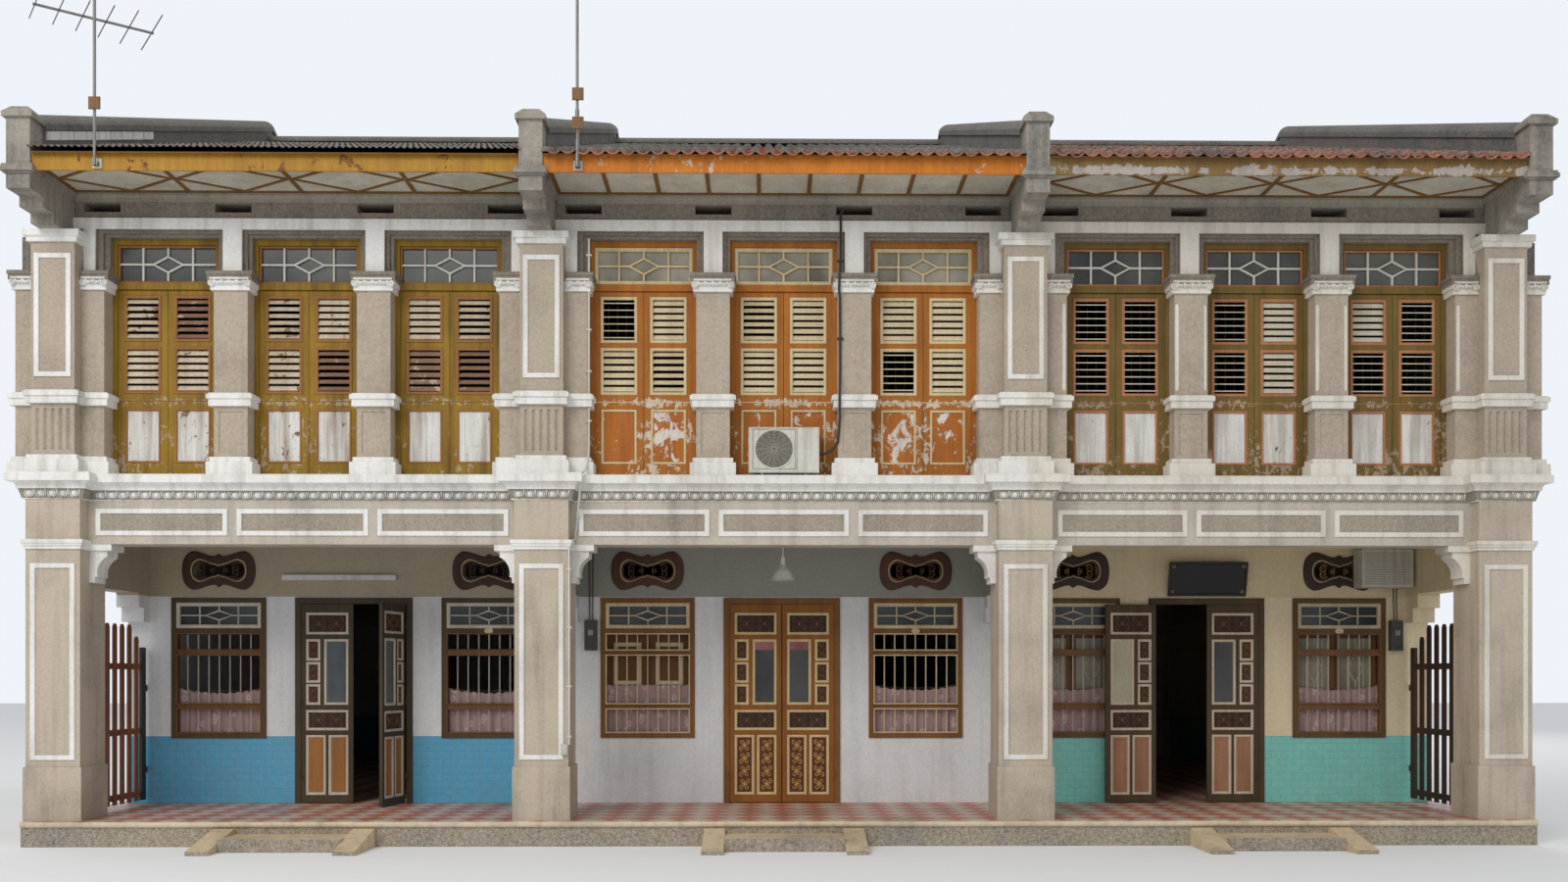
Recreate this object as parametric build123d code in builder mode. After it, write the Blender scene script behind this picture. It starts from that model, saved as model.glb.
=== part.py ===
from build123d import *
import math
import os

os.makedirs("parts", exist_ok=True)

# X runs along the street, Y into the houses and Z up. Y = 0 is the piers' front face.
HOUSE_W = 5800
HOUSES = 3
DEPTH = 13950
PARTY_T = 300
WALL_T = 300
FLOOR_H = 300
FLOOR_FRONT = 110
NOSING_OUT = 40
NOSING_H = 70
CEILING_H = 3750
SLAB_T = 250
BEAM_RISE = 80

# Steps
STEP_W = 1400
STEP_D = 560
STEP_H = 150
CHEEK_W = 250
CHEEK_D = 850
CHEEK_TOP = 215
CHEEK_NOSE = 45

# Arcade
PIER_W = 645
PIER_D = 645
PIER_PLINTH_H = 640
PIER_PLINTH_OUT = 22
BEAM_H = 520
BEAM_SET = 190
CAPITAL_H = 115
CAPITAL_DROP = 75
CAPITAL_OUT = 45
CONSOLE_W = 218
CONSOLE_LIP = 62
CONSOLE_H = 385
CONSOLE_D = 285
CONSOLE_FACE = 72
CONSOLE_FOOT = 70
CONSOLE_WAIST = 100
WALKWAY_D = 2340
CROSS_WALL_Z = 2830
CORBEL_OUT = 350
CORBEL_MID = 200
CORBEL_STEP = 190

# Cornice over the arcade
CORNICE_H = 310
CORNICE_OUT = 150
EGG_BAND_H = 120
BREAK_SIDE = 30
BAND_STEP = 10
BAND_ROLL = 38
COVE_FOOT = 60
COVE_Z = 26
COVE_H = 58
TOP_LIP = 22
TOP_BEVEL = 26

# Upper storey front
WALL_SET = 250
WIN_W = 1310
WIN_H = 2905
WIN_SPACING = 1714
WIN_PIL_SET = 170
MAIN_PIL_W = 515
BASE_H = 216
BAND_Z = 828
BAND_H = 156
WIN_CAP_Z = 2221
WIN_CAP_H = 224
MAIN_CAP_Z = 2748
MAIN_CAP_H = 140
MOULD_OUT = 62
MOULD_SIDE = 75
REVEAL_STEP = 36
REVEAL_DEPTH = 40
LEG_W = 228
PARTY_LEG_W = 140
ARCHITRAVE_H = 131
ARCHITRAVE_T = 28
FRIEZE_H = 515
SLOT_W = 440
SLOT_H = 106
SLOT_Z = 282
END_SLOT_X = 2430
CORONA_H = 115
CORONA_OUT = 46
FLUTES = 5
FLUTE_W = 36
FLUTE_MARGIN = 30
PANEL_MARGIN = 60

# Raised panel frames
PANEL_RAISE = 16
PANEL_BAR = 56
BEAM_PANELS = 3
BEAM_PANEL_GAP = 115
BEAM_PANEL_TOP = 95
BEAM_PANEL_FOOT = 105
PIER_PANEL_Z = (725, 3065)
PIER_PANEL_W = 525
PILASTER_PANEL_Z = (1147, 2613)
PILASTER_PANEL_W = 435

# Eaves and roof
PITCH = 20.8
EAVES_OUT = 760
FASCIA_DROP = 85
FASCIA_H = 200
FASCIA_T = 25
SOFFIT_T = 15
ROOF_T = 95
ROOF_LIP = 60
GABLE_RISE = 150
PARAPET_H = 150
COPING_H = 180
COPING_SIDE_H = 70
COPING_OUT = 28
POST_W = 270
POST_D = 290
POST_OUT = 30
POST_DROP = 301
POST_RISE = 505
POST_CAP_H = 134
POST_CAP_OUT = 38
CORBEL_FRONT = -250
CORBEL_DROP = 120
SIDE_MOULD_OUT = 34
SIDE_MOULD_H = 90
RIDGE_GAP = 20
RIDGE_CAP_W = 420
RIDGE_CAP_T = 60
RIDGE_CAP_SIDE = 35
BATTEN_W = 46
BATTEN_T = 14
DIAMOND_PANELS = 4
CROSS_PANELS = 9

# Timber windows upstairs
FRAME_SET = 150
FRAME_T = 100
FRAME_W = 52
LEAF_H = 2294
LEAF_T = 42
LEAF_SET = 25
LEAF_STILE = 105
LEAF_SLACK = 3
TRANSOM_BAR_H = 83
HEAD_H = 71
MUNTIN = 22
MUNTIN_T = 30
DIAMOND_HALF = (200, 107)
SLATS = 6
SLAT_T = 12
SLAT_D = 64
SHUT = 64
AJAR = 50
OPEN = 14
LOUVRE_Z = ((1055, 1572), (1692, 2197))
PANEL_Z = (201, 826)
PANEL_RECESS = 12

# How far the slats of each leaf are turned, in its lower and upper louvre, from left to right
SLAT_TILTS = (
    ((SHUT, AJAR), (SHUT, AJAR), (SHUT, AJAR), (AJAR, SHUT), (SHUT, SHUT), (AJAR, AJAR)),
    ((SHUT, OPEN), (AJAR, SHUT), (SHUT, AJAR), (SHUT, SHUT), (OPEN, SHUT), (SHUT, SHUT)),
    ((OPEN, OPEN), (OPEN, OPEN), (OPEN, OPEN), (SHUT, SHUT), (OPEN, SHUT), (OPEN, OPEN)),
)

# House fronts behind the arcade
FRONT_T = 200
DOOR_W = 1584
DOOR_H = 2786
DOOR_HEAD = 85
DOOR_JAMB = 80
DOOR_FRAME_OUT = 25
DOOR_FRAME_D = 150
LEAF_GAP = 6
MEET_GAP = 12
DOOR_T = 45
DOOR_FLOOR_GAP = 10
KNUCKLE_R = 9
KNUCKLE_OUT = 12
KNUCKLE_H = 90
KNUCKLE_GAP = 0.6
HINGE_Z = (330, 1340, 2350)
HINGE_PLATE = 32
DOOR_STILE = 78
DOOR_RECESS = 13
SIDE_PANEL_W = 165
LEFT_HOUSE_OPEN = 80
RIGHT_HOUSE_OPEN = 175
GWIN_W = 1278
GWIN_X = 1823
GWIN_Z = 882
GWIN_H = 1904
GWIN_FRAME_W = 70
GWIN_FRAME_D = 120
GWIN_OUT = 20
GWIN_RAIL_H = 60
GWIN_TRANSOM_Z = 1420
GWIN_BAR_RAILS = (400, 1130)
VENT_Z = 3152
VENT_W = 985
VENT_H = 546
VENT_RIM = 115
VENT_T = 34
LOBE_SIDES = 18

# Side gates
GATE_IN = 100
GATE_T = 40
GATE_CLEAR = 25
GATE_AXIS_IN = 45
GATE_FOOT = 60
GATE_STILE_W = 120
GATE_STILE_H = 2107
GATE_RAILS = (150, 990, 1850)
GATE_RAIL_H = 80
PICKETS = 7
PICKET_W = 105
PICKET_H = 2400
END_PICKET_H = 2249
PICKET_TIP = 45
PICKET_FLAT = 48
GATE_PINS = (500, 1600)
GATE_PIN_R = 12
GATE_PIN_H = 60
GATE_SWING_GAP = 8
PIN_SEAT = 0.3
BRACKET_T = 16

# Fittings
BOARD_W = 1065
BOARD_H = 470
BOARD_T = 36
BOARD_Z = 3045
BOARD_TILT = 14
METER_X = 2588
METER_Z = 2275
METER_W = 170
METER_H = 410
METER_D = 95
UNIT_W = 850
UNIT_D = 290
UNIT_H = 545
UNIT_FOOT = 30
UNIT_SET = 70
STRAP = 30
HUNG_UNIT_X = 2350
HUNG_UNIT_W = 690
HUNG_UNIT_Z = (2920, 3430)
MAST_R = 17
MAST_H = 2000
MAST_STEP = 650
MAST_CLEAR = 8
BOOM_DROP = 350
BOOM_L = 1250
BOOM_W = 22
ROD_W = 10
RODS = (820, 860, 900, 960, 1020, 1100)
LAMP_Y = 1200
LAMP_Z = 2952
LAMP_R = 160
SHADE_H = 300
CORD_R = 9
TUBE_L = 1530
TUBE_X = -190
TUBE_Z = 3055
TUBE_D = 70

# Rear: sideways place, height above the floor, width and height of each opening
REAR_OPENINGS = (
    (-1500, 0, 950, 2150),
    (1200, 950, 1200, 1250),
    (-1300, 4930, 1100, 1350),
    (1300, 4930, 1100, 1350),
)
REAR_SET = 90
REAR_T = 90
REAR_RIM = 60
REAR_RECESS = 25

PARTY_X = [(i - HOUSES / 2) * HOUSE_W for i in range(HOUSES + 1)]
HOUSE_X = [(i - (HOUSES - 1) / 2) * HOUSE_W for i in range(HOUSES)]
BAY = HOUSE_W - PARTY_T
ROW_HALF = HOUSES * HOUSE_W / 2 + PIER_W / 2
Z_CEIL = FLOOR_H + CEILING_H
Z_STOREY = Z_CEIL + BEAM_RISE
Z_BEAM = Z_STOREY - BEAM_H
Z_SILL = Z_STOREY + CORNICE_H
Z_HEAD = Z_SILL + WIN_H
Z_BAND = Z_HEAD + 2 * REVEAL_STEP
Z_SOFFIT = Z_HEAD + FRIEZE_H
Z_GABLE = Z_SOFFIT + GABLE_RISE
Z_FASCIA = Z_SOFFIT - FASCIA_DROP
Z_CAP = Z_BEAM - CAPITAL_DROP
Z_WIN_CAP_TOP = Z_SILL + WIN_CAP_Z + WIN_CAP_H
Z_MAIN_TOP = Z_SILL + MAIN_CAP_Z + MAIN_CAP_H
Z_DOOR = FLOOR_H + DOOR_H
WALL_IN = WALL_SET + WALL_T
RIDGE_Y = (DEPTH + WALL_SET) / 2
POST_Y = -EAVES_OUT - POST_OUT
GABLE_Y = POST_Y + POST_D
SLOPE = math.tan(math.radians(PITCH))
ROOF_V = ROOF_T / math.cos(math.radians(PITCH))
WINDOWS_X = [h + k * WIN_SPACING for h in HOUSE_X for k in (-1, 0, 1)]
WIN_PIERS_X = [h + k * WIN_SPACING / 2 for h in HOUSE_X for k in (-1, 1)]
WIN_PIER_W = WIN_SPACING - WIN_W
PARTY_PIER_W = HOUSE_W - 2 * WIN_SPACING - WIN_W
FRAME_Y = WALL_SET + FRAME_SET
FRAME_FACE = WALKWAY_D - DOOR_FRAME_OUT
HINGE_Y = FRAME_FACE - KNUCKLE_OUT
HINGE_X = DOOR_W / 2 - DOOR_JAMB
GATE_LINE = PARTY_X[-1] - GATE_IN
GATE_AXIS_Y = WALKWAY_D - GATE_AXIS_IN


def roof_under(y):
    """Height of the roof's underside over a place on the front slope."""
    return Z_FASCIA + FASCIA_H + (y + EAVES_OUT) * SLOPE


def gable_top(y):
    """Height of a party wall's top, under its coping, on the front slope."""
    return roof_under(y) + ROOF_V + PARAPET_H


def mirrored(y):
    """The same place on the rear half of the roof."""
    return 2 * RIDGE_Y - y


def block(x0, x1, y0, y1, z0, z1, mode=Mode.ADD):
    """A squared block between two corners, for slabs, plain walls and bars."""
    with Locations(((x0 + x1) / 2, (y0 + y1) / 2, (z0 + z1) / 2)):
        Box(abs(x1 - x0), abs(y1 - y0), abs(z1 - z0), mode=mode)


def slab_section(x0, x1, points):
    """A straight-sided outline in Y and Z, drawn out along the row from x0 to x1."""
    with BuildSketch(Plane.YZ.offset(x0)) as outline:
        with BuildLine():
            Polyline(*points, close=True)
        make_face()
    extrude(outline.sketch, amount=x1 - x0)


def save(piece, name):
    """Labels a finished piece and writes it as one STEP file."""
    piece.part.label = name
    export_step(piece.part, "parts/" + name + ".step")


# Ground floor: one plinth under the walkway and the houses, with a rounded nosing
with BuildPart() as ground_floor:
    with BuildSketch(Plane.YZ.offset(-ROW_HALF)):
        with BuildLine():
            floor = Polyline(
                (-FLOOR_FRONT, FLOOR_H - NOSING_H), (-FLOOR_FRONT, 0), (DEPTH, 0),
                (DEPTH, FLOOR_H), (-FLOOR_FRONT, FLOOR_H),
            )
            ThreePointArc(floor @ 1, (-FLOOR_FRONT - NOSING_OUT, FLOOR_H - NOSING_H / 2),
                          floor @ 0)
        make_face()
    extrude(amount=2 * ROW_HALF)
save(ground_floor, "ground_floor")

# Steps: a deep tread between two sloping cheeks in front of each house
with BuildPart() as entrance_steps:
    for x in HOUSE_X:
        block(x - STEP_W / 2, x + STEP_W / 2, -FLOOR_FRONT - STEP_D, -FLOOR_FRONT, 0, STEP_H)
        for left in (x - STEP_W / 2 - CHEEK_W, x + STEP_W / 2):
            slab_section(left, left + CHEEK_W, (
                (-FLOOR_FRONT, 0), (-FLOOR_FRONT, CHEEK_TOP),
                (-FLOOR_FRONT - NOSING_OUT, CHEEK_TOP),
                (-FLOOR_FRONT - CHEEK_D, CHEEK_NOSE), (-FLOOR_FRONT - CHEEK_D, 0),
            ))
save(entrance_steps, "entrance_steps")

# Arcade piers: a plinth, a plain shaft, and a shallower block above the ceiling
with BuildPart() as arcade_piers:
    for x in PARTY_X:
        half = PIER_W / 2
        wide = half + PIER_PLINTH_OUT
        block(x - half, x + half, 0, PIER_D, FLOOR_H, Z_CEIL)
        block(x - half, x + half, 0, WALL_IN, Z_CEIL, Z_STOREY)
        block(x - wide, x + wide, -PIER_PLINTH_OUT, PIER_D + PIER_PLINTH_OUT, FLOOR_H,
              FLOOR_H + PIER_PLINTH_H)
save(arcade_piers, "arcade_piers")

# Pier capitals: a moulded band round each pier, over a console bracket towards each bay
CONSOLE_Y = BEAM_SET + (WALL_IN - BEAM_SET - CONSOLE_D) / 2


def capital_band(x):
    """The moulding round one pier, in three steps that widen upwards."""
    for low, high, share in ((0, 0.35, 0.45), (0.35, 0.6, 0.75), (0.6, 1, 1)):
        reach = CAPITAL_OUT * share
        block(x - PIER_W / 2 - reach, x + PIER_W / 2 + reach, -reach, PIER_D,
              Z_CAP + CAPITAL_H * low, Z_CAP + CAPITAL_H * high)


def console(x, side):
    """A bracket under the beam: a concave sweep between a straight face and a small foot."""
    face = x + side * PIER_W / 2
    sweep_top = Z_CAP - CONSOLE_FACE
    sweep_foot = Z_CAP - CONSOLE_H + CONSOLE_FOOT
    bend = math.sin(math.radians(45))
    with BuildSketch(Plane.XZ.offset(-CONSOLE_Y)) as outline:
        with BuildLine():
            top = Polyline(
                (face, Z_CAP - CONSOLE_H), (face, Z_CAP), (face + side * CONSOLE_W, Z_CAP),
                (face + side * CONSOLE_W, sweep_top),
            )
            curve = ThreePointArc(
                top @ 1,
                (face + side * (CONSOLE_W - (CONSOLE_W - CONSOLE_WAIST) * bend),
                 sweep_top - (sweep_top - sweep_foot) * (1 - bend)),
                (face + side * CONSOLE_WAIST, sweep_foot),
            )
            Polyline(
                curve @ 1, (face + side * CONSOLE_FOOT, sweep_foot),
                (face + side * CONSOLE_FOOT, Z_CAP - CONSOLE_H), (face, Z_CAP - CONSOLE_H),
            )
        make_face()
    extrude(outline.sketch, amount=-CONSOLE_D)
    block(face, face + (CONSOLE_W + CONSOLE_LIP) * side, CONSOLE_Y - CONSOLE_LIP / 2,
          CONSOLE_Y + CONSOLE_D + CONSOLE_LIP / 2, Z_CAP, Z_BEAM)


with BuildPart() as pier_capitals:
    for i, x in enumerate(PARTY_X):
        capital_band(x)
        for side in (-1, 1):
            if 0 <= i + (side - 1) / 2 < HOUSES:
                console(x, side)
        block(x - PIER_W / 2, x + PIER_W / 2, 0, PIER_D, Z_CAP - CONSOLE_H,
              Z_CAP + CAPITAL_H, mode=Mode.SUBTRACT)
save(pier_capitals, "pier_capitals")

# Arcade beams: three along the front, and walls across the walkway with two-step corbels
with BuildPart() as arcade_beams:
    for x in HOUSE_X:
        reach = (HOUSE_W - PIER_W) / 2
        block(x - reach, x + reach, BEAM_SET, WALL_IN, Z_BEAM, Z_STOREY)
        for side in (-1, 1):
            block(x + side * reach, x + side * (reach - CAPITAL_OUT), BEAM_SET, WALL_IN,
                  Z_BEAM, Z_CAP + CAPITAL_H, mode=Mode.SUBTRACT)
    for x in PARTY_X:
        low = FLOOR_H + CROSS_WALL_Z
        slab_section(x - PARTY_T / 2, x + PARTY_T / 2, (
            (PIER_D, Z_CEIL), (PIER_D, low), (WALKWAY_D - CORBEL_OUT, low),
            (WALKWAY_D - CORBEL_OUT, low - CORBEL_STEP),
            (WALKWAY_D - CORBEL_MID, low - CORBEL_STEP),
            (WALKWAY_D - CORBEL_MID, low - 2 * CORBEL_STEP),
            (WALKWAY_D, low - 2 * CORBEL_STEP), (WALKWAY_D, Z_CEIL),
        ))
save(arcade_beams, "arcade_beams")


# Cornice: an egg-and-dart band, a cove and a flat top, which break forward over each pier
def cornice_prism(plane, face, way, back, length):
    """The cornice's section: it springs from face, projects the given way and is drawn out."""
    egg = Z_STOREY + EGG_BAND_H
    cove_top = egg + COVE_Z + COVE_H
    with BuildSketch(plane) as section:
        with BuildLine():
            lower = Polyline(
                (back, Z_STOREY), (face + way * BAND_STEP, Z_STOREY),
                (face + way * BAND_STEP, Z_STOREY + BAND_STEP),
                (face + way * BAND_ROLL, egg - BAND_STEP), (face + way * BAND_ROLL, egg),
                (face + way * COVE_FOOT, egg), (face + way * COVE_FOOT, egg + COVE_Z),
            )
            cove = ThreePointArc(
                lower @ 1,
                (face + way * (COVE_FOOT + COVE_H * 0.35), egg + COVE_Z + COVE_H * 0.72),
                (face + way * (CORNICE_OUT - TOP_LIP), cove_top),
            )
            Polyline(
                cove @ 1, (face + way * CORNICE_OUT, cove_top),
                (face + way * CORNICE_OUT, Z_SILL - TOP_BEVEL),
                (face + way * (CORNICE_OUT - TOP_LIP), Z_SILL), (back, Z_SILL),
                (back, Z_STOREY),
            )
        make_face()
    extrude(section.sketch, amount=length)


BREAK_HALF = PIER_W / 2 + BREAK_SIDE
BREAK_REACH = BREAK_HALF + CORNICE_OUT
with BuildPart() as break_sides:
    cornice_prism(Plane.XZ.offset(CORNICE_OUT), BREAK_HALF, 1, 0, -CORNICE_OUT - WALL_IN)
    mirror(about=Plane.YZ)

with BuildPart() as cornice_break:
    cornice_prism(Plane.YZ.offset(-BREAK_REACH), 0, -1, WALL_IN, 2 * BREAK_REACH)
    add(break_sides.part, mode=Mode.INTERSECT)

with BuildPart() as cornice:
    cornice_prism(Plane.YZ.offset(-ROW_HALF), BEAM_SET, -1, WALL_IN, 2 * ROW_HALF)
    with Locations(*[(x, 0, 0) for x in PARTY_X]):
        add(cornice_break.part)
save(cornice, "cornice")

# Upper floors: one slab a house between the party walls, over the walkway too
with BuildPart() as upper_floors:
    for x in HOUSE_X:
        block(x - BAY / 2, x + BAY / 2, WALL_IN, DEPTH - WALL_T, Z_CEIL, Z_CEIL + SLAB_T)
save(upper_floors, "upper_floors")

# Party walls: a ground storey behind the walkway, and an upper storey with its gable
with BuildPart() as party_walls_ground:
    for x in PARTY_X:
        block(x - PARTY_T / 2, x + PARTY_T / 2, WALKWAY_D, DEPTH, FLOOR_H, Z_CEIL)
save(party_walls_ground, "party_walls_ground")

HEAD_STEPS = (
    (WALL_IN, Z_HEAD), (WALL_SET + 2 * REVEAL_DEPTH, Z_HEAD),
    (WALL_SET + 2 * REVEAL_DEPTH, Z_HEAD + REVEAL_STEP),
    (WALL_SET + REVEAL_DEPTH, Z_HEAD + REVEAL_STEP), (WALL_SET + REVEAL_DEPTH, Z_BAND),
    (WALL_SET, Z_BAND),
)

with BuildPart() as party_walls_upper:
    for x in PARTY_X:
        slab_section(x - PARTY_T / 2, x + PARTY_T / 2, (
            (WALL_IN, Z_CEIL), *HEAD_STEPS, (WALL_SET, Z_GABLE), (GABLE_Y, Z_GABLE),
            (GABLE_Y, gable_top(GABLE_Y)), (RIDGE_Y, gable_top(RIDGE_Y)),
            (mirrored(GABLE_Y), gable_top(GABLE_Y)), (mirrored(GABLE_Y), Z_GABLE),
            (DEPTH, Z_GABLE), (DEPTH, Z_CEIL),
        ))
save(party_walls_upper, "party_walls_upper")


# Copings: a round-topped cap that follows each gable from eaves to eaves
def coping(x):
    """The cap over one party wall, from the front eaves to the ridge and down to the rear."""
    half = PARTY_T / 2 + COPING_OUT
    foot = gable_top(GABLE_Y)
    for way in (1, -1):
        start = GABLE_Y if way > 0 else mirrored(GABLE_Y)
        with BuildSketch(Plane.XZ.offset(-start)) as section:
            with BuildLine():
                sides = Polyline(
                    (x + half, foot + COPING_SIDE_H), (x + half, foot), (x - half, foot),
                    (x - half, foot + COPING_SIDE_H),
                )
                ThreePointArc(sides @ 1, (x, foot + COPING_H), sides @ 0)
            make_face()
        extrude(section.sketch, amount=math.hypot(1, SLOPE) * (RIDGE_Y - GABLE_Y),
                dir=(0, way, SLOPE))


with BuildPart() as party_copings:
    for x in PARTY_X:
        coping(x)
save(party_copings, "party_copings")

# Eaves posts: a capped post at each end of each gable, over a corbel that steps back
POST_BANDS = ((-133, -112, 26), (-112, -64, 53), (-64, -32, 38))
with BuildPart() as post_shape:
    half = POST_W / 2
    top = Z_SOFFIT + POST_RISE
    block(-half, half, POST_Y, GABLE_Y, Z_SOFFIT - POST_DROP, top)
    for low, high, out in POST_BANDS:
        block(-half - out, half + out, POST_Y - out, -EAVES_OUT, Z_SOFFIT + low,
              Z_SOFFIT + high)
    cap_y = (POST_Y - POST_CAP_OUT + GABLE_Y) / 2
    cap_w = POST_W + 2 * POST_CAP_OUT
    cap_d = POST_D + POST_CAP_OUT
    lip = top + POST_CAP_H * 0.4
    block(-cap_w / 2, cap_w / 2, cap_y - cap_d / 2, cap_y + cap_d / 2, top, lip)
    with BuildSketch(Plane.XY.offset(lip)):
        with Locations((0, cap_y)):
            Rectangle(cap_w, cap_d)
    with BuildSketch(Plane.XY.offset(top + POST_CAP_H)):
        with Locations((0, cap_y)):
            Rectangle(cap_w * 0.55, cap_d * 0.55)
    loft()
    slab_section(-half, half, (
        (GABLE_Y, Z_GABLE), (GABLE_Y, Z_SOFFIT - POST_DROP - CORBEL_DROP),
        (CORBEL_FRONT, Z_SOFFIT - POST_DROP - CORBEL_DROP), (CORBEL_FRONT, Z_MAIN_TOP),
        (WALL_SET, Z_MAIN_TOP), (WALL_SET, Z_GABLE),
    ))
    block(-half - SIDE_MOULD_OUT, half + SIDE_MOULD_OUT, GABLE_Y, WALL_SET - CORONA_OUT,
          Z_SOFFIT - SIDE_MOULD_H, Z_SOFFIT)

with BuildPart() as eaves_posts:
    for x in PARTY_X:
        with Locations(Location((x, 0, 0)), Location((x, 2 * RIDGE_Y, 0), (0, 0, 180))):
            add(post_shape.part)
save(eaves_posts, "eaves_posts")


# Roofs: a front and a rear slope a house, one house in corrugated sheet and two in clay tiles
def roof_slopes(x):
    """The two slopes of one house, apart at the ridge by the gap that the ridge cap covers."""
    eaves = -EAVES_OUT - ROOF_LIP
    ridge = RIDGE_Y - RIDGE_GAP / 2
    front = (
        (eaves, roof_under(eaves)), (ridge, roof_under(ridge)),
        (ridge, roof_under(ridge) + ROOF_V), (eaves, roof_under(eaves) + ROOF_V),
    )
    slab_section(x - BAY / 2, x + BAY / 2, front)
    slab_section(x - BAY / 2, x + BAY / 2, [(mirrored(y), z) for y, z in front])


with BuildPart() as sheet_roof:
    roof_slopes(HOUSE_X[0])
save(sheet_roof, "sheet_roof")

with BuildPart() as tile_roof:
    for x in HOUSE_X[1:]:
        roof_slopes(x)
save(tile_roof, "tile_roof")

# Ridge caps: a rounded cap bedded on both slopes
with BuildPart() as ridge_caps:
    for x in HOUSE_X:
        half = RIDGE_CAP_W / 2
        foot = roof_under(RIDGE_Y - half) + ROOF_V
        peak = roof_under(RIDGE_Y) + ROOF_V
        with BuildSketch(Plane.YZ.offset(x - BAY / 2)):
            with BuildLine():
                under = Polyline(
                    (RIDGE_Y - half, foot + RIDGE_CAP_SIDE), (RIDGE_Y - half, foot),
                    (RIDGE_Y, peak), (RIDGE_Y + half, foot),
                    (RIDGE_Y + half, foot + RIDGE_CAP_SIDE),
                )
                ThreePointArc(under @ 1, (RIDGE_Y, peak + RIDGE_CAP_T), under @ 0)
            make_face()
        extrude(amount=BAY)
save(ridge_caps, "ridge_caps")

# Fascias: boards between the eaves posts, front and rear
EAVES_REACH = (HOUSE_W - POST_W) / 2
FASCIA_BACK = FASCIA_T - EAVES_OUT
with BuildPart() as fascias:
    for x in HOUSE_X:
        for y0, y1 in ((-EAVES_OUT, FASCIA_BACK), (mirrored(FASCIA_BACK), mirrored(-EAVES_OUT))):
            block(x - EAVES_REACH, x + EAVES_REACH, y0, y1, Z_FASCIA, Z_FASCIA + FASCIA_H)
save(fascias, "fascias")


# Soffits: boards under the eaves with cross battens, and diamonds on the outer houses
def soffit_battens(x, panels, diamonds):
    """The battens under one front soffit: straight ones across, and a diamond in each panel."""
    reach = EAVES_REACH - SIDE_MOULD_OUT
    low = Z_SOFFIT - BATTEN_T
    y0 = FASCIA_BACK
    y1 = WALL_SET - CORONA_OUT
    block(x - reach, x + reach, y0, y0 + BATTEN_W, low, Z_SOFFIT)
    block(x - reach, x + reach, y1 - BATTEN_W, y1, low, Z_SOFFIT)
    pitch = (2 * reach - BATTEN_W) / panels
    for i in range(panels + 1):
        left = x - reach + pitch * i
        block(left, left + BATTEN_W, y0, y1, low, Z_SOFFIT)
    if diamonds:
        half = (y1 - y0 - BATTEN_W) / 2
        with BuildSketch(Plane.XY.offset(low)) as pattern:
            for i in range(panels):
                with Locations((x - reach + BATTEN_W / 2 + pitch * (i + 0.5), (y0 + y1) / 2)):
                    Polygon((-pitch / 2, 0), (0, half), (pitch / 2, 0), (0, -half))
            offset(amount=-BATTEN_W * 0.8, mode=Mode.SUBTRACT)
        extrude(pattern.sketch, amount=BATTEN_T)


with BuildPart() as soffits:
    for i, x in enumerate(HOUSE_X):
        soffit_battens(x, CROSS_PANELS if i == 1 else DIAMOND_PANELS, i != 1)
        for y0, y1 in ((FASCIA_BACK, WALL_SET), (DEPTH, mirrored(FASCIA_BACK))):
            block(x - EAVES_REACH, x + EAVES_REACH, y0, y1, Z_SOFFIT, Z_SOFFIT + SOFFIT_T)
save(soffits, "soffits")

# Frieze walls: over the upper windows, with four vent slots a house and a corona moulding
with BuildPart() as frieze_walls:
    for x in HOUSE_X:
        slab_section(x - BAY / 2, x + BAY / 2, (
            *HEAD_STEPS, (WALL_SET, Z_SOFFIT - CORONA_H),
            (WALL_SET - CORONA_OUT * 0.4, Z_SOFFIT - CORONA_H),
            (WALL_SET - CORONA_OUT * 0.55, Z_SOFFIT - CORONA_H * 0.62),
            (WALL_SET - CORONA_OUT, Z_SOFFIT - CORONA_H * 0.35),
            (WALL_SET - CORONA_OUT, Z_SOFFIT), (WALL_SET, Z_SOFFIT),
            (WALL_SET, roof_under(WALL_SET)), (WALL_IN, roof_under(WALL_IN)),
        ))
        for dx in (-END_SLOT_X, -WIN_SPACING / 2, WIN_SPACING / 2, END_SLOT_X):
            block(x + dx - SLOT_W / 2, x + dx + SLOT_W / 2, WALL_SET - 1, WALL_IN + 1,
                  Z_HEAD + SLOT_Z, Z_HEAD + SLOT_Z + SLOT_H, mode=Mode.SUBTRACT)
save(frieze_walls, "frieze_walls")


# Upper piers: the masonry between the upper windows, with the pilasters and their dados
def reveal(x, half, step):
    """Masonry over the capitals, which steps back from the architrave legs to the timber."""
    for i in range(3):
        reach = half - i * step
        front = WALL_SET + (2 - i) * REVEAL_DEPTH
        block(x - reach, x + reach, front, WALL_IN, Z_WIN_CAP_TOP, Z_HEAD)
        if i:
            block(x - reach, x + reach, front, front + REVEAL_DEPTH, Z_HEAD,
                  Z_HEAD + i * REVEAL_STEP)


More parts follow.
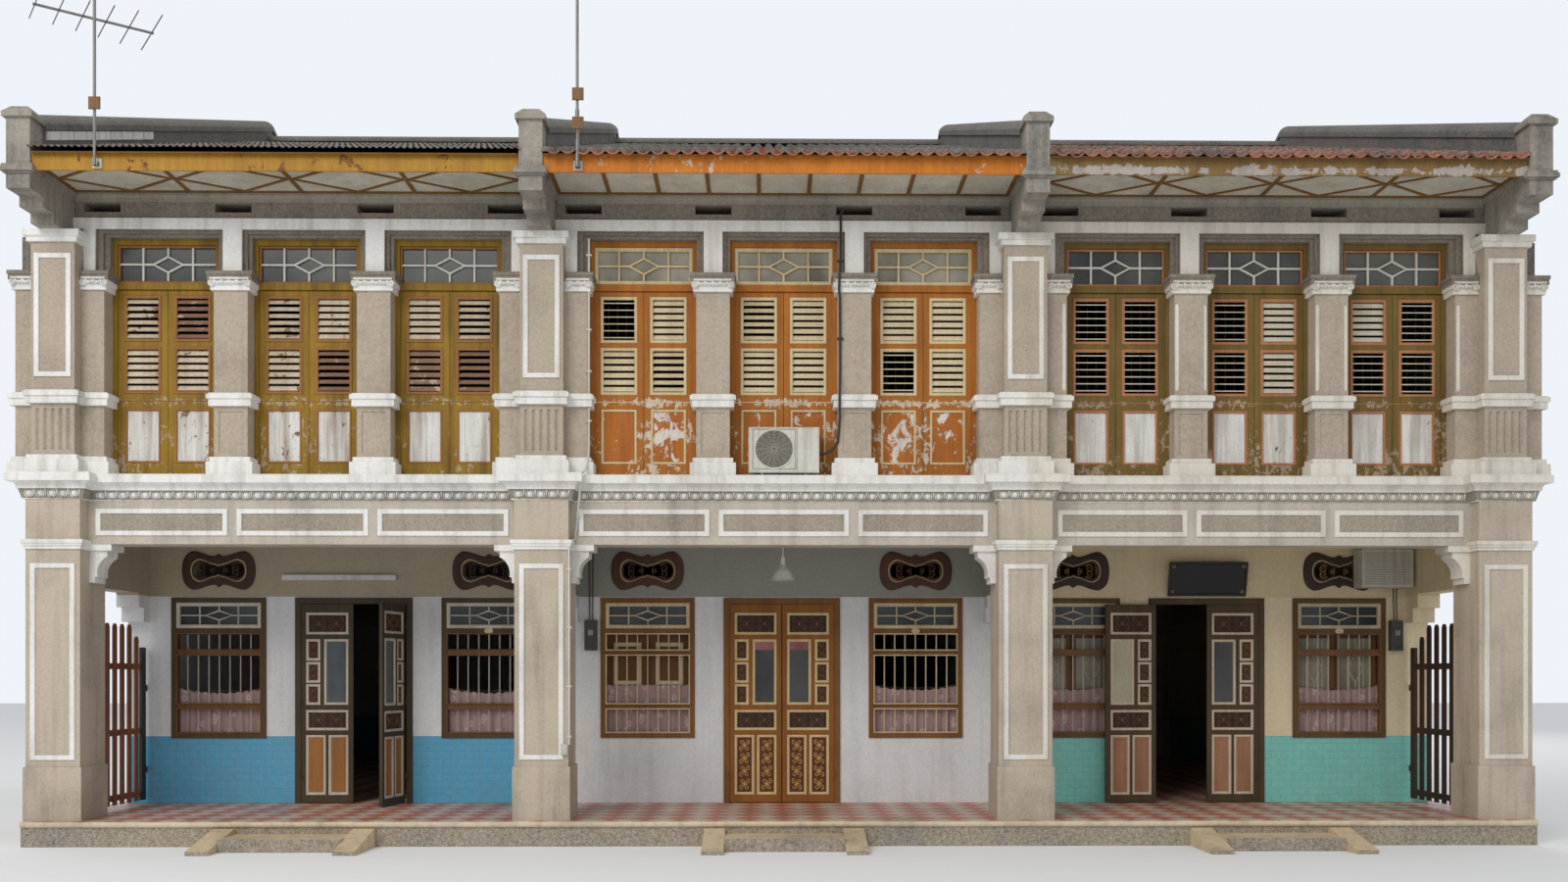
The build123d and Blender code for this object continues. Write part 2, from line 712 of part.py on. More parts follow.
with BuildPart() as upper_piers:
    for x in WIN_PIERS_X:
        half = WIN_PIER_W / 2
        block(x - half, x + half, WIN_PIL_SET, WALL_IN, Z_SILL, Z_WIN_CAP_TOP)
        block(x - half + PANEL_MARGIN, x + half - PANEL_MARGIN, WIN_PIL_SET - 1,
              WIN_PIL_SET + PANEL_RECESS, Z_SILL + BASE_H + PANEL_MARGIN,
              Z_SILL + BAND_Z - PANEL_MARGIN, mode=Mode.SUBTRACT)
        reveal(x, half, (WIN_PIER_W - LEG_W) / 4)
    for x in PARTY_X:
        half = PARTY_PIER_W / 2
        main = MAIN_PIL_W / 2
        block(x - half, x + half, WIN_PIL_SET, WALL_IN, Z_SILL, Z_WIN_CAP_TOP)
        reveal(x, half, (half - main - PARTY_LEG_W) / 2)
        block(x - main, x + main, 0, WALL_IN, Z_SILL, Z_MAIN_TOP)
        pitch = (MAIN_PIL_W - 2 * FLUTE_MARGIN) / FLUTES
        for i in range(FLUTES):
            across = x - main + FLUTE_MARGIN + pitch * (i + 0.5)
            middle = (across, 0, Z_SILL + (BASE_H + BAND_Z) / 2)
            with Locations(Location(middle, (0, 0, 45))):
                Box(FLUTE_W, FLUTE_W, BAND_Z - BASE_H - 2 * PANEL_MARGIN, mode=Mode.SUBTRACT)
save(upper_piers, "upper_piers")


# Pilaster mouldings: white bases, bands and capitals wrapped round the piers
BAND_SHARES = (
    (0, BASE_H * 0.72, 1), (0, BASE_H, 0.55), (BAND_Z, BAND_Z + BAND_H, 0.7),
    (BAND_Z + BAND_H * 0.55, BAND_Z + BAND_H * 0.9, 1),
)
WIN_CAP_SHARES = ((0, 0.3, 0.45), (0.3, 0.5, 0.7), (0.5, 0.8, 0.85), (0.8, 1, 1))
MAIN_CAP_SHARES = ((0, 0.45, 0.55), (0.45, 1, 1))


def wrap(x, half, front, back, bands):
    """Bands round the front and sides of one pilaster, from their heights and projections."""
    for low, high, share in bands:
        block(x - half - MOULD_SIDE * share, x + half + MOULD_SIDE * share,
              front - MOULD_OUT * share, back, Z_SILL + low, Z_SILL + high)


def cap_bands(z, height, shares):
    """A capital's bands, from shares of its height."""
    return tuple((z + height * low, z + height * high, share) for low, high, share in shares)


WIN_BANDS = BAND_SHARES + cap_bands(WIN_CAP_Z, WIN_CAP_H, WIN_CAP_SHARES)
MAIN_BANDS = BAND_SHARES + cap_bands(MAIN_CAP_Z, MAIN_CAP_H, MAIN_CAP_SHARES)

with BuildPart() as pilaster_mouldings:
    for x in WIN_PIERS_X:
        half = WIN_PIER_W / 2
        wrap(x, half, WIN_PIL_SET, FRAME_Y, WIN_BANDS)
        block(x - half, x + half, WIN_PIL_SET, WALL_IN, Z_SILL, Z_WIN_CAP_TOP,
              mode=Mode.SUBTRACT)
    for x in PARTY_X:
        half = PARTY_PIER_W / 2
        main = MAIN_PIL_W / 2
        wrap(x, half, WIN_PIL_SET, FRAME_Y, WIN_BANDS)
        wrap(x, main, 0, WALL_SET - ARCHITRAVE_T, MAIN_BANDS)
        block(x - half, x + half, WIN_PIL_SET, WALL_IN, Z_SILL, Z_WIN_CAP_TOP,
              mode=Mode.SUBTRACT)
        block(x - main, x + main, 0, WALL_IN, Z_SILL, Z_MAIN_TOP, mode=Mode.SUBTRACT)
save(pilaster_mouldings, "pilaster_mouldings")

# Architraves: a flat white band over each house's windows, with legs down to the capitals
with BuildPart() as architraves:
    for x in HOUSE_X:
        y0 = WALL_SET - ARCHITRAVE_T
        block(x - EAVES_REACH, x + EAVES_REACH, y0, WALL_SET, Z_BAND, Z_BAND + ARCHITRAVE_H)
        for side in (-1, 1):
            leg = x + side * WIN_SPACING / 2
            block(leg - LEG_W / 2, leg + LEG_W / 2, y0, WALL_SET, Z_WIN_CAP_TOP, Z_BAND)
            edge = x + side * (HOUSE_W - MAIN_PIL_W) / 2
            block(edge, edge - side * PARTY_LEG_W, y0, WALL_SET, Z_WIN_CAP_TOP, Z_BAND)
save(architraves, "architraves")


# Panel frames: raised white frames on the pilasters, the piers and the beams
def panel_frame(x, z0, z1, width, face):
    """A raised rectangular frame on a face at the given Y."""
    with BuildSketch(Plane.XZ.offset(-face)) as outline:
        with Locations((x, (z0 + z1) / 2)):
            Rectangle(width, z1 - z0)
            Rectangle(width - 2 * PANEL_BAR, z1 - z0 - 2 * PANEL_BAR, mode=Mode.SUBTRACT)
    extrude(outline.sketch, amount=PANEL_RAISE)


with BuildPart() as panel_frames:
    for x in PARTY_X:
        low, high = PILASTER_PANEL_Z
        panel_frame(x, Z_SILL + low, Z_SILL + high, PILASTER_PANEL_W, 0)
        low, high = PIER_PANEL_Z
        panel_frame(x, FLOOR_H + low, FLOOR_H + high, PIER_PANEL_W, 0)
    pitch = (HOUSE_W - PIER_W - 2 * CAPITAL_OUT) / BEAM_PANELS
    for x in HOUSE_X:
        for i in range(BEAM_PANELS):
            middle = x + (i - (BEAM_PANELS - 1) / 2) * pitch
            panel_frame(middle, Z_BEAM + BEAM_PANEL_FOOT, Z_STOREY - BEAM_PANEL_TOP,
                        pitch - BEAM_PANEL_GAP, BEAM_SET)
save(panel_frames, "panel_frames")

# Upper windows: a timber frame with a diamond transom light over a pair of fixed shutters
LIGHT_Z = Z_SILL + LEAF_H + TRANSOM_BAR_H
LIGHT_TOP = Z_HEAD - HEAD_H
LIGHT_HALF = WIN_W / 2 - FRAME_W
LIGHT_MID = (LIGHT_Z + LIGHT_TOP) / 2
LIGHT_H = LIGHT_TOP - LIGHT_Z

with BuildSketch() as diamond:
    across, up = DIAMOND_HALF
    Polygon((-across, 0), (0, up), (across, 0), (0, -up))

with BuildSketch() as diamond_hole:
    add(diamond.sketch)
    offset(amount=-MUNTIN * 0.9, mode=Mode.REPLACE)

with BuildPart() as upper_window_frames:
    for x in WINDOWS_X:
        half = WIN_W / 2
        block(x - half, x + half, FRAME_Y, FRAME_Y + FRAME_T, Z_SILL, Z_HEAD)
        block(x - LIGHT_HALF, x + LIGHT_HALF, FRAME_Y, FRAME_Y + FRAME_T, Z_SILL,
              Z_SILL + LEAF_H, mode=Mode.SUBTRACT)
        block(x - LIGHT_HALF, x + LIGHT_HALF, FRAME_Y, FRAME_Y + FRAME_T, LIGHT_Z, LIGHT_TOP,
              mode=Mode.SUBTRACT)
        with BuildSketch(Plane.XZ.offset(-FRAME_Y - MUNTIN_T)):
            with Locations((x, LIGHT_MID)):
                Rectangle(2 * LIGHT_HALF, MUNTIN)
                add(diamond.sketch)
            for share in (-0.5, 0, 0.5):
                with Locations((x + share * LIGHT_HALF, LIGHT_MID)):
                    Rectangle(MUNTIN, LIGHT_H)
            with Locations((x, LIGHT_MID)):
                add(diamond_hole.sketch, mode=Mode.SUBTRACT)
        extrude(amount=-MUNTIN_T)
save(upper_window_frames, "upper_window_frames")

# Shutters: each leaf has two louvres with tilted slats over a framed panel
LEAF_W = WIN_W / 2 - FRAME_W - LEAF_SLACK

with BuildPart() as bare_leaf:
    with BuildSketch(Plane.XZ):
        Rectangle(LEAF_W, LEAF_H - 2 * LEAF_SLACK, align=(Align.CENTER, Align.MIN))
        for low, high in LOUVRE_Z:
            with Locations((0, (low + high) / 2)):
                Rectangle(LEAF_W - 2 * LEAF_STILE, high - low, mode=Mode.SUBTRACT)
    extrude(amount=-LEAF_T)
    block(LEAF_STILE - LEAF_W / 2, LEAF_W / 2 - LEAF_STILE, 0, PANEL_RECESS, PANEL_Z[0],
          PANEL_Z[1], mode=Mode.SUBTRACT)


def shutters(house, leaf_tilts):
    """The six leaves of one house, two in each window, with their slats turned as given."""
    places = [(k, side) for k in (-1, 0, 1) for side in (-1, 1)]
    for (k, side), tilts in zip(places, leaf_tilts):
        x = house + k * WIN_SPACING + side * (LEAF_W / 2 + LEAF_SLACK)
        y = FRAME_Y + LEAF_SET
        with Locations((x, y, Z_SILL)):
            add(bare_leaf.part)
        for (low, high), tilt in zip(LOUVRE_Z, tilts):
            pitch = (high - low) / SLATS
            spots = [(x, y + LEAF_T / 2, Z_SILL + low + pitch * (i + 0.5)) for i in range(SLATS)]
            with Locations(*[Location(spot, (tilt, 0, 0)) for spot in spots]):
                Box(LEAF_W - 2 * LEAF_STILE, SLAT_D, SLAT_T)


with BuildPart() as shutters_left:
    shutters(HOUSE_X[0], SLAT_TILTS[0])
save(shutters_left, "shutters_left")

with BuildPart() as shutters_middle:
    shutters(HOUSE_X[1], SLAT_TILTS[1])
save(shutters_middle, "shutters_middle")

with BuildPart() as shutters_right:
    shutters(HOUSE_X[2], SLAT_TILTS[2])
save(shutters_right, "shutters_right")

# House fronts behind the walkway: a wall each side of the door and one over it
VENT_HOLE_W = VENT_W * 0.7
VENT_HOLE_H = VENT_H * 0.45
with BuildPart() as walls_beside_doors:
    for x in HOUSE_X:
        for side in (-1, 1):
            block(x + side * DOOR_W / 2, x + side * BAY / 2, WALKWAY_D, WALKWAY_D + FRONT_T,
                  FLOOR_H, Z_CEIL)
            across = x + side * GWIN_X
            block(across - GWIN_W / 2, across + GWIN_W / 2, WALKWAY_D - 1,
                  WALKWAY_D + FRONT_T + 1, FLOOR_H + GWIN_Z, FLOOR_H + GWIN_Z + GWIN_H,
                  mode=Mode.SUBTRACT)
            block(across - VENT_HOLE_W / 2, across + VENT_HOLE_W / 2, WALKWAY_D - 1,
                  WALKWAY_D + FRONT_T + 1, FLOOR_H + VENT_Z - VENT_HOLE_H / 2,
                  FLOOR_H + VENT_Z + VENT_HOLE_H / 2, mode=Mode.SUBTRACT)
save(walls_beside_doors, "walls_beside_doors")

with BuildPart() as walls_over_doors:
    for x in HOUSE_X:
        block(x - DOOR_W / 2, x + DOOR_W / 2, WALKWAY_D, WALKWAY_D + FRONT_T, Z_DOOR, Z_CEIL)
save(walls_over_doors, "walls_over_doors")


# Vent plaques: a raised scroll surround over each ground window
def scroll_outline(width, height, mode):
    """A double-lobed outline: two round ends, a body and small crests above and below."""
    lobe = height * 0.42
    with Locations((lobe - width / 2, 0), (width / 2 - lobe, 0)):
        RegularPolygon(lobe, LOBE_SIDES, mode=mode)
    Rectangle(width * 0.62, height * 0.66, mode=mode)
    Rectangle(width * 0.24, height, mode=mode)


with BuildSketch() as scroll:
    scroll_outline(VENT_W, VENT_H, Mode.ADD)
    scroll_outline(VENT_W - 2 * VENT_RIM, VENT_H - 2 * VENT_RIM, Mode.SUBTRACT)

with BuildPart() as vent_plaques:
    with BuildSketch(Plane.XZ.offset(-WALKWAY_D)):
        with Locations(*[(x + side * GWIN_X, FLOOR_H + VENT_Z) for x in HOUSE_X for side in (-1, 1)]):
            add(scroll.sketch)
    extrude(amount=VENT_T)
save(vent_plaques, "vent_plaques")

# Ground windows: a timber frame with a transom light and two rails that carry the bars
with BuildPart() as ground_windows:
    for h in HOUSE_X:
        for side in (-1, 1):
            x = h + side * GWIN_X
            z = FLOOR_H + GWIN_Z
            half = GWIN_W / 2
            inner = half - GWIN_FRAME_W
            y0 = WALKWAY_D - GWIN_OUT
            y1 = y0 + GWIN_FRAME_D
            block(x - half, x + half, y0, y1, z, z + GWIN_H)
            block(x - inner, x + inner, y0, y1, z + GWIN_FRAME_W, z + GWIN_H - GWIN_FRAME_W,
                  mode=Mode.SUBTRACT)
            block(x - inner, x + inner, y0, y1, z + GWIN_TRANSOM_Z,
                  z + GWIN_TRANSOM_Z + GWIN_FRAME_W)
            for rail in GWIN_BAR_RAILS:
                block(x - inner, x + inner, y0 + GWIN_OUT, y1 - GWIN_OUT, z + rail,
                      z + rail + GWIN_RAIL_H)
save(ground_windows, "ground_windows")

# Door frames: jambs and head, with three fixed hinge knuckles on each jamb
with BuildPart() as door_frames:
    for x in HOUSE_X:
        half = DOOR_W / 2
        block(x - half, x + half, FRAME_FACE, FRAME_FACE + DOOR_FRAME_D, FLOOR_H, Z_DOOR)
        block(x - HINGE_X, x + HINGE_X, FRAME_FACE, FRAME_FACE + DOOR_FRAME_D, FLOOR_H,
              Z_DOOR - DOOR_HEAD, mode=Mode.SUBTRACT)
        for side in (-1, 1):
            axis = x + side * HINGE_X
            for z in HINGE_Z:
                top = FLOOR_H + z + KNUCKLE_H
                low = top - (KNUCKLE_H - KNUCKLE_GAP) / 2
                with Locations((axis, HINGE_Y, (top + low) / 2)):
                    Cylinder(KNUCKLE_R, top - low)
                block(axis, axis + side * HINGE_PLATE, HINGE_Y - 2, FRAME_FACE, low, top)
save(door_frames, "door_frames")

# Door leaves: panelled, with a narrow light by the meeting stile; the hinge is at the origin
DLEAF_W = HINGE_X - LEAF_GAP - MEET_GAP / 2
DLEAF_H = DOOR_H - DOOR_HEAD - DOOR_FLOOR_GAP - LEAF_GAP
SIDE_PANEL_X = (DOOR_STILE, DOOR_STILE + SIDE_PANEL_W)
DOOR_PANELS = (
    (DOOR_STILE, DLEAF_W - DOOR_STILE, 2290, 2560),
    (DOOR_STILE, DLEAF_W - DOOR_STILE, 990, 1240),
    (DOOR_STILE, DLEAF_W / 2 - 32, 115, 900),
    (DLEAF_W / 2 + 32, DLEAF_W - DOOR_STILE, 115, 900),
    (*SIDE_PANEL_X, 1935, 2200),
    (*SIDE_PANEL_X, 1635, 1890),
    (*SIDE_PANEL_X, 1335, 1590),
    (SIDE_PANEL_X[1] + DOOR_STILE, DLEAF_W - DOOR_STILE, 1335, 2200),
)

with BuildPart() as left_hung_leaf:
    near = KNUCKLE_OUT
    far = KNUCKLE_OUT + DOOR_T
    low = DOOR_FLOOR_GAP
    block(LEAF_GAP, LEAF_GAP + DLEAF_W, near, far, low, low + DLEAF_H)
    for x0, x1, z0, z1 in DOOR_PANELS:
        for y0, y1 in ((near, near + DOOR_RECESS), (far - DOOR_RECESS, far)):
            block(LEAF_GAP + x0, LEAF_GAP + x1, y0, y1, low + z0, low + z1, mode=Mode.SUBTRACT)
    for z in HINGE_Z:
        top = z + (KNUCKLE_H - KNUCKLE_GAP) / 2
        with Locations((0, 0, (z + top) / 2)):
            Cylinder(KNUCKLE_R, top - z)
        block(0, HINGE_PLATE, -2, near, z, top)

with BuildPart() as right_hung_leaf:
    mirror(left_hung_leaf.part, about=Plane.YZ)


def hang_leaf(house, side, angle):
    """Hangs a leaf on its jamb, left (-1) or right (1), opened outward by an angle."""
    leaf = left_hung_leaf if side < 0 else right_hung_leaf
    with Locations(Location((house + side * HINGE_X, HINGE_Y, FLOOR_H), (0, 0, side * angle))):
        add(leaf.part)


with BuildPart() as left_house_left_leaf:
    hang_leaf(HOUSE_X[0], -1, 0)
save(left_house_left_leaf, "left_house_left_leaf")

with BuildPart() as left_house_right_leaf:
    hang_leaf(HOUSE_X[0], 1, LEFT_HOUSE_OPEN)
save(left_house_right_leaf, "left_house_right_leaf")

with BuildPart() as middle_house_left_leaf:
    hang_leaf(HOUSE_X[1], -1, 0)
save(middle_house_left_leaf, "middle_house_left_leaf")

with BuildPart() as middle_house_right_leaf:
    hang_leaf(HOUSE_X[1], 1, 0)
save(middle_house_right_leaf, "middle_house_right_leaf")

with BuildPart() as right_house_left_leaf:
    hang_leaf(HOUSE_X[2], -1, RIGHT_HOUSE_OPEN)
save(right_house_left_leaf, "right_house_left_leaf")

with BuildPart() as right_house_right_leaf:
    hang_leaf(HOUSE_X[2], 1, 0)
save(right_house_right_leaf, "right_house_right_leaf")


# Side gates: pickets on rails that close the walkway at each end of the row
def side_gate(x):
    """One gate in the plane of its party line, hinged at the house wall."""
    back = GATE_AXIS_Y - GATE_PIN_R - GATE_SWING_GAP
    front = PIER_D + PIER_PLINTH_OUT + GATE_CLEAR
    foot = FLOOR_H + GATE_FOOT
    block(x - GATE_T / 2, x + GATE_T / 2, back - GATE_STILE_W, back, foot,
          FLOOR_H + GATE_STILE_H)
    for z in GATE_RAILS:
        block(x - GATE_T / 2, x, front, back, FLOOR_H + z - GATE_RAIL_H / 2,
              FLOOR_H + z + GATE_RAIL_H / 2)
    pitch = (back - GATE_STILE_W - front) / PICKETS
    for i in range(PICKETS):
        y = front + pitch * i
        tip = FLOOR_H + (PICKET_H if i < PICKETS - 1 else END_PICKET_H)
        with BuildSketch(Plane.YZ.offset(x)) as outline:
            with BuildLine():
                slant = (PICKET_W - PICKET_FLAT) / 2
                Polyline(
                    (y, tip - PICKET_TIP), (y, foot), (y + PICKET_W, foot),
                    (y + PICKET_W, tip - PICKET_TIP), (y + PICKET_W - slant, tip),
                    (y + slant, tip), close=True,
                )
            make_face()
        extrude(outline.sketch, amount=GATE_T / 2)
    for z in GATE_PINS:
        with Locations((x, GATE_AXIS_Y, FLOOR_H + z)):
            Cylinder(GATE_PIN_R, GATE_PIN_H)
        block(x - GATE_PIN_R / 2, x + GATE_PIN_R / 2, back, GATE_AXIS_Y,
              FLOOR_H + z - GATE_PIN_H / 2, FLOOR_H + z + GATE_PIN_H / 2)


with BuildPart() as gate_left:
    side_gate(-GATE_LINE)
save(gate_left, "gate_left")

with BuildPart() as gate_right:
    side_gate(GATE_LINE)
save(gate_right, "gate_right")

# Gate brackets: iron plates on the end party walls that the gates' pins stand on
with BuildPart() as gate_brackets:
    for x in (-GATE_LINE, GATE_LINE):
        for z in GATE_PINS:
            seat = FLOOR_H + z - GATE_PIN_H / 2 - PIN_SEAT
            with Locations((x, GATE_AXIS_Y, seat - BRACKET_T / 2)):
                Cylinder(GATE_PIN_R, BRACKET_T)
            block(x - GATE_PIN_R, x + GATE_PIN_R, GATE_AXIS_Y, WALKWAY_D, seat - BRACKET_T,
                  seat)
            block(x - GATE_PIN_R, x + GATE_PIN_R, WALKWAY_D - BRACKET_T / 2, WALKWAY_D,
                  seat - 3 * BRACKET_T, seat + 2 * BRACKET_T)
save(gate_brackets, "gate_brackets")

# Name board: bare, over the right-hand house's door, leaning out at the top on two arms
with BuildPart() as name_board:
    lean = math.sin(math.radians(BOARD_TILT)) * BOARD_H / 2
    board_y = WALKWAY_D - lean - math.cos(math.radians(BOARD_TILT)) * BOARD_T / 2
    arm_z = FLOOR_H + BOARD_Z + BOARD_H / 4
    with Locations(Location((HOUSE_X[2], board_y, FLOOR_H + BOARD_Z), (BOARD_TILT, 0, 0))):
        Box(BOARD_W, BOARD_T, BOARD_H)
    for side in (-1, 1):
        arm = HOUSE_X[2] + side * BOARD_W * 0.3
        block(arm - BOARD_T / 2, arm + BOARD_T / 2, board_y - lean / 2, WALKWAY_D, arm_z,
              arm_z + BOARD_T)
save(name_board, "name_board")

# Meter boxes on the house fronts
with BuildPart() as meter_boxes:
    for x in (HOUSE_X[1] - METER_X, HOUSE_X[2] + METER_X):
        block(x - METER_W / 2, x + METER_W / 2, WALKWAY_D - METER_D, WALKWAY_D,
              FLOOR_H + METER_Z - METER_H / 2, FLOOR_H + METER_Z + METER_H / 2)
    fillet(meter_boxes.edges().filter_by(Axis.Z).group_by(Axis.Y)[0], 12)
save(meter_boxes, "meter_boxes")

# Cooling units: one stands on the cornice, and one hangs from the walkway's ceiling
with BuildPart() as cooling_units:
    x = HOUSE_X[1]
    base = Z_SILL + UNIT_FOOT
    block(x - UNIT_W / 2, x + UNIT_W / 2, UNIT_SET, UNIT_SET + UNIT_D, base, base + UNIT_H)
    for side in (-1, 1):
        foot = x + side * UNIT_W / 3
        block(foot - STRAP, foot + STRAP, UNIT_SET + STRAP, UNIT_SET + UNIT_D - STRAP, Z_SILL,
              base)
    x = HOUSE_X[2] + HUNG_UNIT_X
    back = WALKWAY_D - VENT_T - STRAP / 2
    low, high = HUNG_UNIT_Z
    block(x - HUNG_UNIT_W / 2, x + HUNG_UNIT_W / 2, back - UNIT_D, back, FLOOR_H + low,
          FLOOR_H + high)
    for side in (-1, 1):
        strap = x + side * HUNG_UNIT_W / 3
        block(strap - STRAP / 2, strap + STRAP / 2, back - UNIT_D / 2 - STRAP / 2,
              back - UNIT_D / 2 + STRAP / 2, FLOOR_H + high, Z_CEIL)
save(cooling_units, "cooling_units")

# Rear walls: plain, with a door and a window below and two windows above in each house
with BuildPart() as rear_walls:
    for x in HOUSE_X:
        slab_section(x - BAY / 2, x + BAY / 2, (
            (DEPTH - WALL_T, FLOOR_H), (DEPTH, FLOOR_H), (DEPTH, roof_under(WALL_SET)),
            (DEPTH - WALL_T, roof_under(WALL_IN)),
        ))
        for dx, z, w, h in REAR_OPENINGS:
            block(x + dx - w / 2, x + dx + w / 2, DEPTH - WALL_T - 1, DEPTH + 1, FLOOR_H + z,
                  FLOOR_H + z + h, mode=Mode.SUBTRACT)
save(rear_walls, "rear_walls")

# Rear joinery: fixed boarded doors and shutters in the rear openings
with BuildPart() as rear_joinery:
    for x in HOUSE_X:
        for dx, z, w, h in REAR_OPENINGS:
            y1 = DEPTH - REAR_SET
            block(x + dx - w / 2, x + dx + w / 2, y1 - REAR_T, y1, FLOOR_H + z,
                  FLOOR_H + z + h)
            block(x + dx - w / 2 + REAR_RIM, x + dx + w / 2 - REAR_RIM, y1 - REAR_RECESS, y1,
                  FLOOR_H + z + REAR_RIM, FLOOR_H + z + h - REAR_RIM, mode=Mode.SUBTRACT)
save(rear_joinery, "rear_joinery")

# Antennas: a mast on the fascia with a boom of thin rods, on the left and middle houses
MAST_Y = -EAVES_OUT - ROOF_LIP - MAST_R - MAST_CLEAR
BOOM_Z = MAST_H - BOOM_DROP
with BuildPart() as antenna_shape:
    with Locations((0, 0, MAST_H / 2)):
        Cylinder(MAST_R, MAST_H)
    with Locations((0, 0, BOOM_Z)):
        Box(BOOM_L, BOOM_W, BOOM_W)
    for i, length in enumerate(RODS):
        along = (i / (len(RODS) - 1) - 0.5) * (BOOM_L - 2 * BOOM_W)
        with Locations((along, 0, BOOM_Z)):
            Box(ROD_W, length, ROD_W)

with BuildPart() as antennas:
    for x, rise, turn in ((-7810, 0, 35), (-2360, MAST_STEP, -20)):
        foot = Z_FASCIA + 30
        with Locations(Location((x, MAST_Y, foot + rise), (0, 0, turn))):
            add(antenna_shape.part)
        if rise:
            with Locations((x, MAST_Y, foot + rise / 2)):
                Cylinder(MAST_R * 1.4, rise)
        block(x - 30, x + 30, MAST_Y, -EAVES_OUT, foot, foot + 45)
save(antennas, "antennas")

# Walkway lamps: a pendant shade in the middle house and a tube fitting in the left one
with BuildPart() as walkway_lamps:
    x = HOUSE_X[1]
    low = FLOOR_H + LAMP_Z
    with BuildSketch(Plane.XZ.offset(-LAMP_Y)):
        with BuildLine():
            Polyline(
                (x, low + SHADE_H * 0.2), (x, low + SHADE_H), (x + LAMP_R * 0.16, low + SHADE_H),
                (x + LAMP_R * 0.2, low + SHADE_H * 0.65), (x + LAMP_R * 0.68, low + SHADE_H * 0.36),
                (x + LAMP_R, low), (x + LAMP_R * 0.94, low), close=True,
            )
        make_face()
    revolve(axis=Axis((x, LAMP_Y, 0), (0, 0, 1)))
    with Locations((x, LAMP_Y, (low + SHADE_H + Z_CEIL) / 2)):
        Cylinder(CORD_R, Z_CEIL - low - SHADE_H)
    x = HOUSE_X[0] + TUBE_X
    block(x - TUBE_L / 2, x + TUBE_L / 2, WALKWAY_D - TUBE_D, WALKWAY_D,
          FLOOR_H + TUBE_Z - TUBE_D / 2, FLOOR_H + TUBE_Z + TUBE_D / 2)
save(walkway_lamps, "walkway_lamps")
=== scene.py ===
# %% [markdown]
# # A row of old shophouses
# Three narrow two-storey houses share their side walls and stand over one covered walkway. The
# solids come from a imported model, in metres: X runs along the street, Y goes into the houses and Z
# is up. This script gives every surface its finish and adds what is too fine for the solids: roof
# tiles, carved mouldings, window bars, glass, lace and door panels.

# %% Load the solids
import math
import random

import bmesh
import bpy
from mathutils import Matrix, Vector


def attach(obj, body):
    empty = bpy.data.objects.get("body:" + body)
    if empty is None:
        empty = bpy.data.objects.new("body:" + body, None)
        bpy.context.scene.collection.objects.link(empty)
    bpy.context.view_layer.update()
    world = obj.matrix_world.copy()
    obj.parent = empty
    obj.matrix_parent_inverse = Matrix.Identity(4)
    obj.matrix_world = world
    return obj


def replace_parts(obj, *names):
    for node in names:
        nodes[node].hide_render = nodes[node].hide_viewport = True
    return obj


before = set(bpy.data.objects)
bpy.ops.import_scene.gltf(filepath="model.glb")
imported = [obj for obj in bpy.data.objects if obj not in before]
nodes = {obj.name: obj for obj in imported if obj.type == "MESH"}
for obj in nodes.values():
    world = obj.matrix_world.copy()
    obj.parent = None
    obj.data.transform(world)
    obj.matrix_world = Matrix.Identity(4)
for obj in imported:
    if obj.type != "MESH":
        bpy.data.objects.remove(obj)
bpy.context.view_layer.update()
scene = bpy.context.scene

# %% [markdown]
# ## The camera
# The photo was taken from across the street, a little left of the middle, with a level camera, so
# that upright lines stay upright. A level camera would cut the roof off, so the lens is shifted
# upwards instead of tilting the camera. That is what the vertical shift does here.

# %% Camera
CAMERA_AT = (-0.221, -17.047, 2.021)
CAMERA_TURN = math.radians(-0.741)
LENS = 32.69
SHIFT_UP = 0.15

camera = bpy.data.objects.new("camera", bpy.data.cameras.new("camera"))
scene.collection.objects.link(camera)
camera.location = CAMERA_AT
camera.rotation_euler = (math.radians(90), 0, CAMERA_TURN)
camera.data.lens = LENS
camera.data.shift_y = SHIFT_UP
scene.camera = camera
print("camera", CAMERA_AT, "lens", LENS)

# %% [markdown]
# ## Tools for materials
# A material is a small graph of nodes. Writing each node and link out in full takes many lines, so
# a helper class adds a node, feeds its sockets and gives back what it puts out. All patterns are
# read from Object coordinates, which are metres here, because every mesh holds its own place.

# %% Colour and node helpers
def srgb(red, green, blue):
    """A colour on the 0 to 255 scale of a paint chart, as the linear values that shaders use."""
    shares = [c / 255 for c in (red, green, blue)]
    linear = [c / 12.92 if c <= 0.04045 else ((c + 0.055) / 1.055) ** 2.4 for c in shares]
    return (*linear, 1.0)


